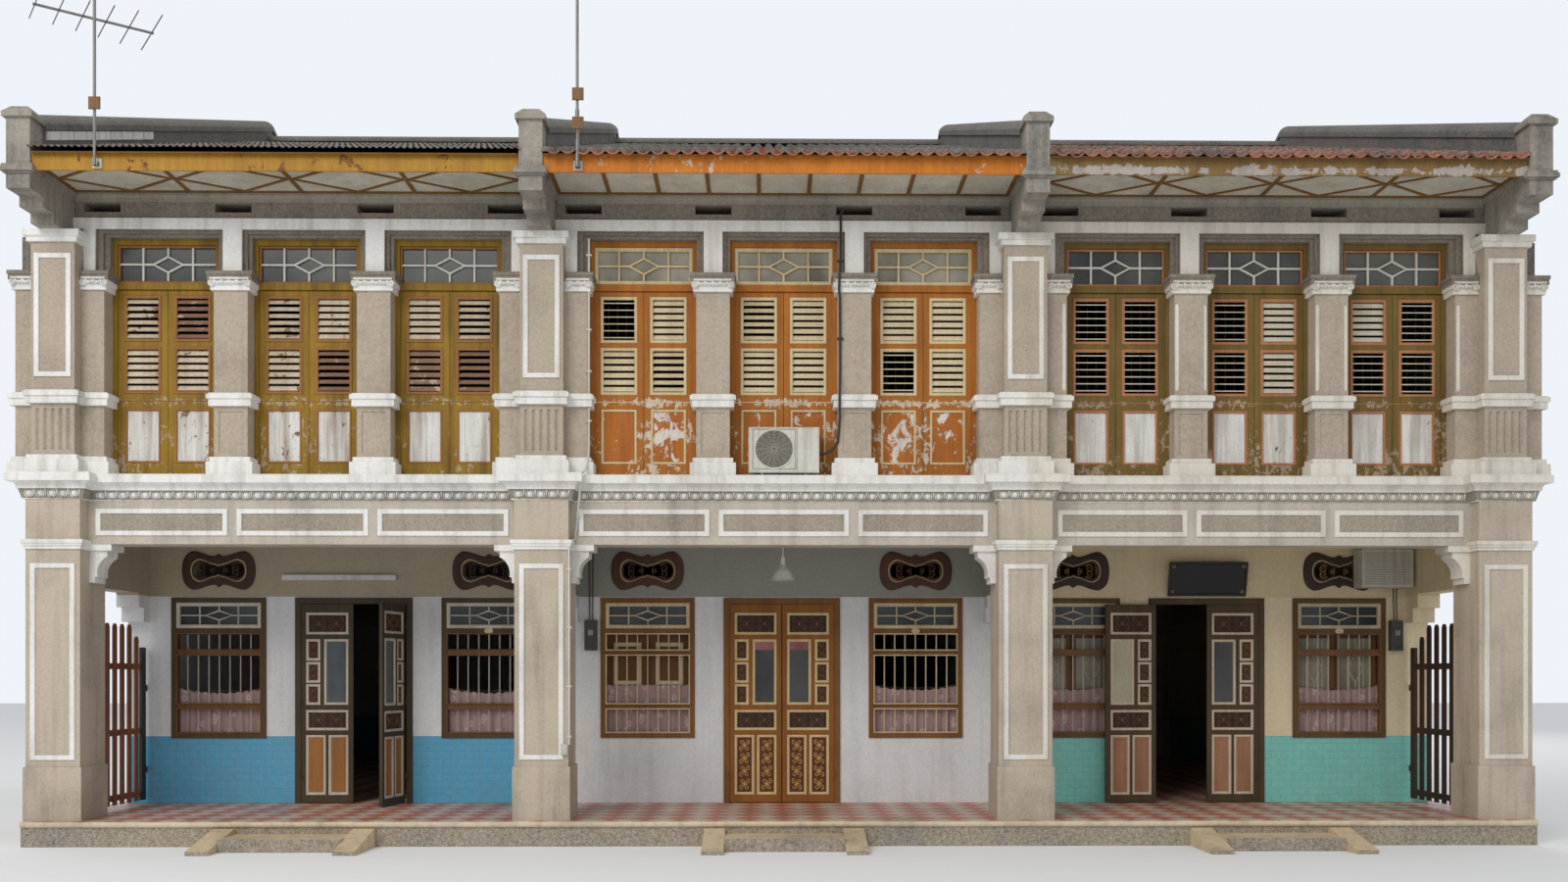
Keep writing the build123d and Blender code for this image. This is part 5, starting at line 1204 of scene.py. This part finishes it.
def curtain(name, middle, top, bottom, sag, folds, seed):
    """A hung lace with soft folds; its top edge sags between the ends."""
    rng = random.Random(seed)
    wide = 2 * WINDOW_INNER + 0.06
    across = 96
    down = 10
    phases = [rng.uniform(0, 6.28) for _ in range(3)]

    def plan(share, depth):
        wave = math.sin(2 * math.pi * folds * share + phases[0])
        wave += 0.4 * math.sin(2 * math.pi * folds * 0.37 * share + phases[1])
        return LACE_Y + 0.014 * (0.6 + 0.4 * depth) * wave

    points = []
    uvs = []
    for j in range(down + 1):
        depth = j / down
        length = 0.0
        for i in range(across + 1):
            share = i / across
            edge = top - sag * math.sin(math.pi * share) ** 0.8
            edge += 0.008 * math.sin(2 * math.pi * folds * share + phases[2]) * (1 - depth)
            at = (middle + wide * (share - 0.5), plan(share, depth), edge + (bottom - edge) * depth)
            if i:
                length += math.dist(at[:2], points[-1][:2])
            points.append(at)
            uvs.append((length, at[2]))
    faces = [(j * (across + 1) + i, j * (across + 1) + i + 1, (j + 1) * (across + 1) + i + 1,
              (j + 1) * (across + 1) + i) for j in range(down) for i in range(across)]
    mesh = bpy.data.meshes.new(name)
    mesh.from_pydata(points, [], faces)
    mesh.materials.append(lace)
    layer = mesh.uv_layers.new(name="cloth")
    for loop in mesh.loops:
        layer.data[loop.index].uv = uvs[loop.vertex_index]
    mesh.polygons.foreach_set("use_smooth", [True] * len(mesh.polygons))
    made = piece(name, mesh)
    rod = Shape()
    rod.tube([(middle + wide * share, LACE_Y, top + 0.004 - sag * drop)
              for share, drop in ((-0.5, 0), (-0.25, 0.6), (0.25, 0.6), (0.5, 0))], 0.003, 5)
    hanger = rod.make(name + "_wire", [rod_brass], soft=60)


for house, title in enumerate(TITLES):
    for side, word in ((-1, "left"), (1, "right")):
        top = (1.86, 1.90, 1.90)[house]
        sag = 0.0 if (house == 1 and side < 0) else 0.07
        curtain("lace_" + title + "_" + word, HOUSES[house] + side * WINDOW_X, top,
                WINDOW_Z + 0.075, sag, 11, house * 2 + side)

# %% [markdown]
# The middle house has panelled leaves behind the bars of its left window. Both windows of the right
# house have glazed casements there, each with a diamond of thin bars.

# %% Inner leaves behind the bars
inner_wood = (timber("inner_middle", (112, 72, 38), (70, 42, 22), (150, 110, 70), 0.08),
              timber("inner_right", (120, 84, 52), (78, 52, 32), (160, 130, 96), 0.1))
# The casement panes are coloured with painted shade of the room behind them.
inner_glass = glass("inner_glass", (120, 116, 102), (168, 162, 146), 2.0)

leaves = Shape()
x = HOUSES[1] - WINDOW_X
for side in (-1, 1):
    x0, x1 = sorted((x + side * 0.006, x + side * 0.566))
    leaves.bar(x0, x1, 2.47, 2.50, WINDOW_Z + 0.07, WINDOW_Z + 1.42, ease=0.004)
    for low, high in ((0.72, 1.30), (0.12, 0.62)):
        leaves.frame(x0 + 0.09, x1 - 0.09, WINDOW_Z + low, WINDOW_Z + high,
                     [(0, 2.472), (0, 2.462), (0.008, 2.456), (0.05, 2.458), (0.06, 2.472)], 1)
leaves.make("inner_leaves_middle", [inner_wood[0], light_paint[1]])

casements = Shape()
for side in (-1, 1):
    for half in (-1, 1):
        x = HOUSES[2] + side * WINDOW_X
        x0, x1 = sorted((x + half * 0.006, x + half * 0.566))
        casements.frame(x0, x1, WINDOW_Z + 0.07, WINDOW_Z + 1.42,
                        [(0, 2.500), (0, 2.470), (0.06, 2.470), (0.06, 2.500)])
        mid = (x0 + x1) / 2
        z = WINDOW_Z + 0.95
        for dx in (-0.11, 0.11):
            casements.bar(mid + dx - 0.008, mid + dx + 0.008, 2.474, 2.486, WINDOW_Z + 0.13,
                          WINDOW_Z + 1.36, 1, 0.003)
        corners = [(mid + across, 2.478, z + up)
                   for across, up in ((0, 0.2), (0.11, 0), (0, -0.2), (-0.11, 0))]
        for here, there in zip(corners, corners[1:] + corners[:1]):
            casements.tube([here, there], 0.009, 4, 1)
        for low, high in ((z + 0.2, WINDOW_Z + 1.36), (WINDOW_Z + 0.13, z - 0.2)):
            casements.bar(mid - 0.008, mid + 0.008, 2.474, 2.486, low, high, 1, 0.003)
        casements.bar(x0 + 0.055, x1 - 0.055, 2.489, 2.493, WINDOW_Z + 0.125, WINDOW_Z + 1.365, 2)
casements.make("inner_casements_right", [inner_wood[1], light_paint[2], inner_glass])

# %% [markdown]
# ## Door leaves
# Old doors here are framed and carved. Every panel has a painted moulding round it; some hold carved
# scrolls, the long ones below are plain or carved, and a tall light of frosted glass stands by the
# meeting edge. Each leaf's pieces ride on a body named after that leaf. They are made on a leaf
# that hangs at the left and is closed, and a matrix then mirrors and turns them into place.

# %% Mouldings, carvings and glass of the door leaves
LEAF_HANG = 0.712
HINGE_Y = 2.303
LEAF_FACES = (0.012, 0.057)
LEAF_EDGE = (0.006, 0.010)
WIDE_PANELS = ((0.078, 0.622, 2.290, 2.560), (0.078, 0.622, 0.990, 1.240))
LONG_PANELS = ((0.078, 0.318, 0.115, 0.900), (0.382, 0.622, 0.115, 0.900))
SMALL_PANELS = ((0.078, 0.243, 1.935, 2.200), (0.078, 0.243, 1.635, 1.890), (0.078, 0.243, 1.335, 1.590))
GLASS_PANEL = (0.321, 0.622, 1.335, 2.200)
LEAVES = (("left_house_left_leaf", 0, -1, 0), ("left_house_right_leaf", 0, 1, 80),
          ("middle_house_left_leaf", 1, -1, 0), ("middle_house_right_leaf", 1, 1, 0),
          ("right_house_left_leaf", 2, -1, 175), ("right_house_right_leaf", 2, 1, 0))

door_trim = for_houses(timber, "door_trim",
                       ((212, 204, 188), (160, 144, 120), (96, 66, 42), 0.2),
                       ((222, 200, 152), (176, 146, 98), (140, 90, 44), 0.12),
                       ((216, 200, 180), (166, 144, 116), (100, 72, 50), 0.15))
carved_ground = timber("carved_ground", (58, 42, 32), (32, 24, 18), (100, 60, 40), 0.05)
carved_relief = timber("carved_relief", (132, 92, 62), (78, 52, 36), (150, 100, 60), 0.08)
gilt_relief = timber("gilt_relief", (214, 176, 104), (150, 106, 52), (110, 66, 34), 0.2)
long_paint = for_houses(timber, "long",
                        ((168, 116, 62), (116, 78, 42), (150, 120, 86), 0.08),
                        ((96, 52, 28), (60, 32, 20), (130, 90, 56), 0.08),
                        ((172, 126, 96), (124, 86, 64), (170, 130, 100), 0.1))
# The door lights are coloured with painted shade of the rooms behind them.
door_glass = for_houses(glass, "door_glass",
                        ((70, 78, 84), (104, 112, 114), 2.0),
                        ((58, 60, 64), (84, 84, 84), 2.0),
                        ((164, 158, 134), (190, 184, 160), 2.0))
PINK_STRIP = glass("pink_strip", (140, 84, 92), (170, 116, 122), 3.0, 0.6)


def carving(shape, x0, x1, z0, z1, y, out, mark):
    """Scrolls in pairs that fill a panel, with a lozenge boss between the pairs."""
    wide, tall = x1 - x0, z1 - z0
    lying = wide > tall
    long, short = (wide, tall) if lying else (tall, wide)
    pairs = max(1, round(long / (short * 1.1)))
    step = long / pairs
    size = min(short * 0.24, step * 0.26)
    for i in range(pairs):
        centre = step * (i + 0.5)
        for along in (-1, 1):
            for over in (-1, 1):
                a, b = centre + along * step * 0.22, short / 2 + over * short * 0.22
                x, z = (x0 + a, z0 + b) if lying else (x0 + b, z0 + a)
                path = curl(x, z, y, size, 1.25, along, over, 9)
                shape.tube(path, [0.004 + 0.0035 * k / 8 for k in range(9)], 4, mark)
        x, z = (x0 + centre, z0 + short / 2) if lying else (x0 + short / 2, z0 + centre)
        boss = [(x + size * 0.5 * math.cos(t), z + size * 0.7 * math.sin(t))
                for t in (k * math.pi / 4 for k in range(8))]
        shape.plate(boss, y - out * 0.008, y + out * 0.004, mark, 0.4)


def dress_leaf(name, house, side, angle):
    """The mouldings, carvings and glass on both faces of one leaf."""
    hinge = Matrix.Translation((HOUSES[house] + side * LEAF_HANG, HINGE_Y, FLOOR))
    place = hinge @ Matrix.Rotation(math.radians(side * angle), 4, "Z")
    if side > 0:
        place = place @ Matrix.Scale(-1, 4, (1, 0, 0))
    place = place @ Matrix.Translation((LEAF_EDGE[0], 0, LEAF_EDGE[1]))
    body = name + "_body"
    trims = Shape(place)
    fields = Shape(place)
    for face, out in ((LEAF_FACES[0], 1), (LEAF_FACES[1], -1)):
        deep = face + out * 0.013
        section = [(-0.012, face + out * 0.002), (-0.012, face - out * 0.004),
                   (-0.002, face - out * 0.008), (0.016, face - out * 0.005), (0.024, deep - out * 0.001),
                   (0.024, deep + out * 0.001)]
        field_y = sorted((deep - out * 0.003, deep + out * 0.001))
        for x0, x1, z0, z1 in WIDE_PANELS + LONG_PANELS + SMALL_PANELS + (GLASS_PANEL,):
            trims.frame(x0, x1, z0, z1, section)
        for x0, x1, z0, z1 in WIDE_PANELS + SMALL_PANELS:
            fields.bar(x0 + 0.02, x1 - 0.02, *field_y, z0 + 0.02, z1 - 0.02, 0)
            carving(fields, x0 + 0.032, x1 - 0.032, z0 + 0.032, z1 - 0.032, deep - out * 0.006, out, 1)
        for x0, x1, z0, z1 in LONG_PANELS:
            fields.bar(x0 + 0.02, x1 - 0.02, *field_y, z0 + 0.02, z1 - 0.02, 2)
            if house == 1:
                carving(fields, x0 + 0.04, x1 - 0.04, z0 + 0.04, z1 - 0.04, deep - out * 0.006, out, 3)
            else:
                fields.frame(x0 + 0.045, x1 - 0.045, z0 + 0.045, z1 - 0.045,
                             [(0, deep - out * 0.002), (0.004, deep - out * 0.007),
                              (0.014, deep - out * 0.007), (0.02, deep - out * 0.002)], 2)
        x0, x1, z0, z1 = GLASS_PANEL
        fields.bar(x0 + 0.02, x1 - 0.02, *field_y, z0 + 0.02, z1 - 0.02, 4)
        if house == 1:
            fields.bar(x0 + 0.022, x1 - 0.022, *sorted((deep - out * 0.004, deep)), z1 - 0.13,
                       z1 - 0.022, 5)
    trims.make(name + "_mouldings", [door_trim[house]], body)
    fields.make(name + "_panels", [carved_ground, carved_relief, long_paint[house], gilt_relief,
                                   door_glass[1 if side > 0 else house], PINK_STRIP],
                body)


for leaf in LEAVES:
    dress_leaf(*leaf)

# %% [markdown]
# ## Scroll plaques
# Over each ground window a carved surround holds a vent. Its outline swells at both ends, is drawn in
# at the waist and has a small point in the middle, so half of its height is one formula of the place
# along it, and the same formula with smaller sizes gives every line inside it.

# %% Plaques over the ground windows
PLAQUE_Z = 3.452
PLAQUE_HALF = 0.4925
PLAQUE_TALL = 0.262
PLAQUE_FACE = 2.306
WALL_FACE = 2.34
VENT_RIM = (0.376, 0.156, 0.091, 0.069)
VENT_LINE = (0.360, 0.140, 0.077, 0.055)
VENT_FIELD = (0.345, 0.108, 0.060, 0.050)


def plaque_height(share, tall, waist, point):
    """Half of the height at a share of the half length: a point, a waist and a rounded end."""
    if share < 0.10:
        return waist + (point - waist) * (1 - share / 0.10) ** 1.5
    if share < 0.70:
        swell = (share - 0.10) / 0.60
        return waist + (tall - waist) * (0.5 - 0.5 * math.cos(math.pi * swell))
    fall = (share - 0.70) / 0.30
    dent = 0.06 * math.sin(math.pi * fall) ** 2
    return tall * math.sqrt(max(0.0, 1 - fall ** 2.4)) * (1 - dent)


def plaque_line(half, tall, waist, point, y):
    """One closed line of the plaque, round its centre."""
    shares = [math.sin(math.pi / 2 * i / 14) for i in range(15)]
    right = [(half * s, plaque_height(s, tall, waist, point)) for s in shares]
    upper = [(-x, z) for x, z in reversed(right)] + right[1:]
    lower = [(x, -z) for x, z in reversed(upper)][1:-1]
    return [(x, y, z) for x, z in upper + lower]


plaque_paint = for_houses(timber, "plaque",
                          ((76, 56, 44), (44, 32, 26), (120, 92, 70), 0.1),
                          ((92, 64, 48), (54, 36, 28), (130, 100, 76), 0.1),
                          ((66, 52, 46), (38, 30, 26), (110, 88, 70), 0.1))
old_gilt = timber("old_gilt", (132, 104, 62), (66, 46, 30), (60, 44, 34), 0.3)
line_paint = timber("line_paint", (190, 172, 136), (140, 118, 84), (90, 66, 48), 0.15)

for house, title in enumerate(TITLES):
    plaques = Shape()
    for side in (-1, 1):
        x = HOUSES[house] + side * WINDOW_X
        plaques.place = Matrix.Translation((x, 0, PLAQUE_Z))
        plaques.rings([
            plaque_line(PLAQUE_HALF, PLAQUE_TALL, 0.190, 0.226, WALL_FACE),
            plaque_line(PLAQUE_HALF, PLAQUE_TALL, 0.190, 0.226, WALL_FACE - 0.02),
            plaque_line(PLAQUE_HALF - 0.01, PLAQUE_TALL - 0.01, 0.182, 0.218, PLAQUE_FACE + 0.004),
            plaque_line(PLAQUE_HALF - 0.03, PLAQUE_TALL - 0.028, 0.166, 0.200, PLAQUE_FACE),
            plaque_line(0.385, 0.165, 0.100, 0.078, PLAQUE_FACE),
            plaque_line(0.375, 0.155, 0.090, 0.068, PLAQUE_FACE + 0.012),
            plaque_line(0.375, 0.155, 0.090, 0.068, WALL_FACE)], closed=True)
        plaques.rings([
            plaque_line(*VENT_RIM, WALL_FACE - 0.014),
            plaque_line(*VENT_RIM, WALL_FACE - 0.026),
            plaque_line(*VENT_LINE, WALL_FACE - 0.026),
            plaque_line(*VENT_LINE, WALL_FACE - 0.014)], 1, closed=True)
        plaques.rings([
            plaque_line(*VENT_LINE, WALL_FACE - 0.018),
            plaque_line(*VENT_FIELD, WALL_FACE - 0.020),
            plaque_line(*VENT_FIELD, WALL_FACE - 0.002),
            plaque_line(0.366, 0.146, 0.083, 0.061, WALL_FACE - 0.002)], 0, closed=True)
        scroll = 2 if house == 2 else 0
        for way in (-1, 1):
            for up in (-1, 1):
                plaques.tube(curl(way * 0.215, up * 0.035, WALL_FACE - 0.012, 0.060, 1.4, way, up, 13),
                             [0.006 + 0.0005 * k for k in range(13)], 5, scroll)
                plaques.tube(curl(way * 0.095, up * 0.012, WALL_FACE - 0.012, 0.040, 1.2, -way, up, 11),
                             0.007, 5, scroll)
    made = plaques.make("scroll_plaques_" + title, [plaque_paint[house], line_paint, old_gilt],
                        soft=35)
    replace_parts(made, "vent_plaques")

# %% [markdown]
# ## Fittings
# The rest is small: the fan guard of the cooling unit, bare oval plates on three window rails, the
# face of each meter, a rim on the black board, pipes with their clips, and what an old mast has
# picked up. Each is made from the same few forms.

# %% Fan guard, plates, meters, board rim and pipes
def ring_path(x, z, y, radius, steps=28):
    """A circle that faces the street, with its first point again at its end."""
    turns = [2 * math.pi * i / steps for i in range(steps + 1)]
    return [(x + radius * math.cos(t), y, z + radius * math.sin(t)) for t in turns]


guard_grey = metal("guard_grey", (164, 160, 148), (110, 94, 76), 0.06, 0.5)
guard_dark = metal("guard_dark", (84, 80, 74), (60, 52, 44), 0.06, 0.6)
UNIT_FACE = 0.07
FAN_X = -0.118
FAN_Z = 4.752
FAN_R = 0.225
fan = Shape()
fan.rings([[(x, y, z) for x, _, z in ring_path(FAN_X, FAN_Z, 0, radius)[:-1]]
           for radius, y in ((FAN_R + 0.02, UNIT_FACE + 0.001), (FAN_R + 0.016, UNIT_FACE - 0.010),
                             (FAN_R, UNIT_FACE - 0.010), (FAN_R - 0.004, UNIT_FACE + 0.001))], 2,
          closed=True)
fan.rings([[(x, y, z) for x, _, z in ring_path(FAN_X, FAN_Z, 0, FAN_R - 0.004)[:-1]]
           for y in (UNIT_FACE - 0.002, UNIT_FACE + 0.002)], 1)
for k in range(1, 13):
    fan.tube(ring_path(FAN_X, FAN_Z, UNIT_FACE - 0.009, FAN_R * k / 13, 26), 0.0042, 4)
for k in range(16):
    turn = 2 * math.pi * k / 16
    fan.tube([(FAN_X + FAN_R * s * math.cos(turn), UNIT_FACE - 0.006, FAN_Z + FAN_R * s * math.sin(turn))
              for s in (0.1, 1.0)], 0.0042, 4)
fan.frame(-0.415, 0.415, 4.48, 5.005, [(0, UNIT_FACE + 0.001), (0, UNIT_FACE - 0.005),
                                       (0.006, UNIT_FACE - 0.005), (0.006, UNIT_FACE + 0.001)], 2)
fan.bar(0.157, 0.161, UNIT_FACE - 0.003, UNIT_FACE + 0.002, 4.49, 4.995, 1, 0.001)
for x in (-0.30, 0.30):
    fan.bar(x - 0.035, x + 0.035, 0.10, 0.33, 4.441, 4.471, 1, 0.006)
fan.frame(FAN_X - 0.262, FAN_X + 0.262, FAN_Z - 0.246, FAN_Z + 0.246,
          [(0, UNIT_FACE + 0.001), (0, UNIT_FACE - 0.003), (0.012, UNIT_FACE - 0.004),
           (0.016, UNIT_FACE + 0.001)], 0)
HUNG_X = 8.15
HUNG_FACE = 2.001
for k in range(14):
    z = 3.255 + 0.032 * k
    fan.bar(HUNG_X - 0.31, HUNG_X + 0.31, HUNG_FACE - 0.006, HUNG_FACE + 0.002, z, z + 0.012, 0, 0.003)
fan.make("fan_guards", [guard_grey, guard_dark, unit_metal], soft=40)

plates = Shape()
for house in range(3):
    x = HOUSES[house] + WINDOW_X
    z = WINDOW_Z + 1.455
    ovals = [[(x + a * math.cos(t), y, z + b * math.sin(t)) for t in
              (2 * math.pi * i / 20 for i in range(20))]
             for a, b, y in ((0.058, 0.040, 2.321), (0.058, 0.040, 2.317), (0.050, 0.033, 2.314),
                             (0.046, 0.029, 2.316), (0.020, 0.012, 2.314))]
    plates.rings(ovals)
plates.make("oval_plates", [light_paint[1]], soft=30)

meters = Shape()
for x in (-2.588, 8.388):
    meters.frame(x - 0.075, x + 0.075, 2.40, 2.75, [(0, 2.247), (0, 2.239), (0.008, 2.237),
                                                    (0.012, 2.247)], 1)
    meters.bar(x - 0.045, x + 0.045, 2.234, 2.247, 2.56, 2.66, 1, 0.006)
    meters.bar(x - 0.035, x + 0.035, 2.230, 2.236, 2.575, 2.645, 2, 0.003)
    meters.bar(x - 0.05, x + 0.05, 2.238, 2.247, 2.43, 2.53, 0, 0.004)
    for dx in (-0.02, 0.02):
        meters.tube([(x + dx, 2.300, 2.78), (x + dx, 2.322, 3.0), (x + dx * 1.4, 2.322, 4.04)], 0.008, 6, 1)
meters.make("meter_faces", [case_plastic, guard_dark, upper_glass[1]], soft=40)

tilt = math.radians(14)
BOARD_HALF = 0.235
board_y = WALL_FACE - math.sin(tilt) * BOARD_HALF - math.cos(tilt) * 0.018
board_rim = Shape(Matrix.Translation((HOUSES[2], board_y, 3.345)) @ Matrix.Rotation(tilt, 4, "X"))
board_rim.frame(-0.5325, 0.5325, -BOARD_HALF, BOARD_HALF,
                [(0, -0.016), (0, -0.024), (0.012, -0.030), (0.034, -0.026), (0.04, -0.0175)])
for way in (-1, 1):
    for up in (-1, 1):
        board_rim.tube(curl(way * 0.475, up * 0.178, -0.022, 0.03, 1.1, way, up, 9), 0.005, 4, 1)
board_rim.make("board_rim", [board_black, gilt_relief], soft=40)

pipe_white = metal("pipe_white", (206, 206, 200), (130, 122, 108), 0.08, 0.5)
pipe_black = metal("pipe_black", (44, 42, 40), (28, 26, 24), 0.02, 0.6)


def pipe(shape, path, radius, mark=0, clips=()):
    """A rigid pipe, and saddles that hold it to the wall behind it."""
    shape.tube(path, radius, 7, mark)
    for x, y, z in clips:
        shape.bar(x - radius * 2.4, x + radius * 2.4, y - radius * 1.3, y + radius, z - 0.012, z + 0.012,
                  mark, 0.004)


def bend(corner, before, after, steps=5):
    """A rounded corner between two directions, as a short arc of points."""
    a, b, c = Vector(before), Vector(corner), Vector(after)
    return [tuple(a.lerp(b, t).lerp(b.lerp(c, t), t)) for t in (i / (steps - 1) for i in range(steps))]


conduit = Shape()
x = -2.352
route = [(x, 0.158, 7.30)] + bend((x, 0.155, 4.62), (x, 0.155, 4.80), (x - 0.03, 0.05, 4.50))
route += [(x - 0.05, 0.022, 4.462), (x - 0.06, -0.052, 4.455)]
route += bend((x - 0.07, -0.060, 4.30), (x - 0.07, -0.060, 4.42), (x - 0.12, 0.09, 4.02))
route += [(x - 0.14, 0.168, 3.9), (x - 0.17, 0.168, 3.68), (x - 0.20, 0.02, 3.62),
          (x - 0.214, -0.016, 3.55), (x - 0.214, -0.016, 1.20)]
pipe(conduit, route, 0.013, 0, [(x, 0.158, z) for z in (7.1, 6.2, 5.7, 5.1)]
     + [(x - 0.214, -0.012, z) for z in (3.3, 2.6, 1.9, 1.3)])
conduit.bar(-2.66, -2.578, -0.045, 0.001, 1.08, 1.21, 0, 0.008)
conduit.bar(-2.652, -2.586, -0.049, -0.044, 1.088, 1.202, 0, 0.004)
conduit.make("wall_conduit", [pipe_white], soft=50)

cooling_pipe = Shape()
route = [(0.73, 0.26, 7.675), (0.72, 0.20, 7.675)]
route += bend((0.70, 0.200, 7.66), (0.72, 0.20, 7.675), (0.690, 0.200, 7.60))
route += [(0.690, 0.196, 7.2), (0.682, 0.190, 6.9), (0.668, 0.094, 6.87), (0.664, 0.092, 6.66),
          (0.676, 0.140, 6.60), (0.680, 0.155, 5.7), (0.672, 0.095, 5.44), (0.670, 0.095, 5.26),
          (0.676, 0.148, 5.16), (0.660, 0.152, 4.95)]
route += bend((0.60, 0.16, 4.72), (0.650, 0.155, 4.85), (0.424, 0.20, 4.70))
pipe(cooling_pipe, route, 0.016, 0, [(0.686, 0.192, 7.05), (0.680, 0.156, 6.1)])
cooling_pipe.make("cooling_pipe", [pipe_black], soft=50)

# %% [markdown]
# White strips edge the pilaster shafts of the right house, and the panels of the arcade beams have a
# darker field. Short pieces of flashing step up beside the sheet roof, and each mast has blocks with
# clamps on it and a small box at its foot.

# %% Strips, fields, flashing and fittings of the masts
STRIP_LOW = 5.50
STRIP_TALL = 1.02
strips = Shape()


def strip(middle, end):
    """A flat strip on a pilaster's shaft, whose ends are round with the given radius."""
    line = []
    for t in (math.pi * (i + 0.5) / 6 for i in range(12)):
        foot = STRIP_LOW + (STRIP_TALL if math.sin(t) > 0 else 0)
        line.append((middle + end * math.cos(t), foot + end * math.sin(t)))
    strips.plate(line, 0.164, 0.172, ease=0.05)


for side in (-1, 1):
    pier = HOUSES[2] + side * WINDOW_STEP / 2
    strip(pier - WINDOW_PIER_HALF + 0.03, 0.0225)
    strip(pier + WINDOW_PIER_HALF - 0.03, 0.014)
for line, side in ((PARTY_LINES[2], 1), (PARTY_LINES[3], -1)):
    strip(line + side * (PARTY_PIER_HALF - 0.035), 0.02)
strips.make("shaft_strips", [white_lime])

fields = Shape()
PANEL_PITCH = 5.065 / 3
for house in HOUSES:
    for k in (-1, 0, 1):
        x = house + k * PANEL_PITCH
        fields.bar(x - 0.738, x + 0.738, 0.186, 0.192, 3.763, 3.987)
fields.make("beam_fields", [field_plaster])

flashing = Shape()
for k in range(9):
    y0 = -0.45 + 0.32 * k
    z0 = 7.975 + (y0 + 0.76) * math.tan(PITCH) + 0.115
    x = PARTY_LINES[0] + 0.152
    a, b = y0, y0 + 0.30
    rise = 0.30 * math.tan(PITCH)
    flashing.rings([[(x + dx, a, z0 + 0.02), (x + dx, a, z0 + 0.125), (x + dx, b, z0 + rise + 0.125),
                     (x + dx, b, z0 + rise + 0.02)] for dx in (-0.004, 0.012)])
flashing.make("tile_flashing", [white_lime])

mast_bits = Shape()
for x, foot, blocks in ((-7.81, 7.805, (0.62,)), (-2.36, 7.805, (0.75, 0.42))):
    for up in blocks:
        mast_bits.bar(x - 0.055, x + 0.075, -0.885, -0.862, foot + up, foot + up + 0.14, 0, 0.006)
        for dz in (0.03, 0.11):
            mast_bits.tube([(x, -0.868, foot + up + dz), (x + 0.028, -0.845, foot + up + dz),
                            (x, -0.822, foot + up + dz), (x - 0.028, -0.845, foot + up + dz),
                            (x, -0.868, foot + up + dz)], 0.005, 4, 1)
    mast_bits.bar(x - 0.05, x + 0.05, -0.79, -0.762, 7.79, 7.90, 2, 0.004)
mast_bits.make("mast_fittings", [rear_paint, bracket_iron, unit_metal])
print("fittings made")
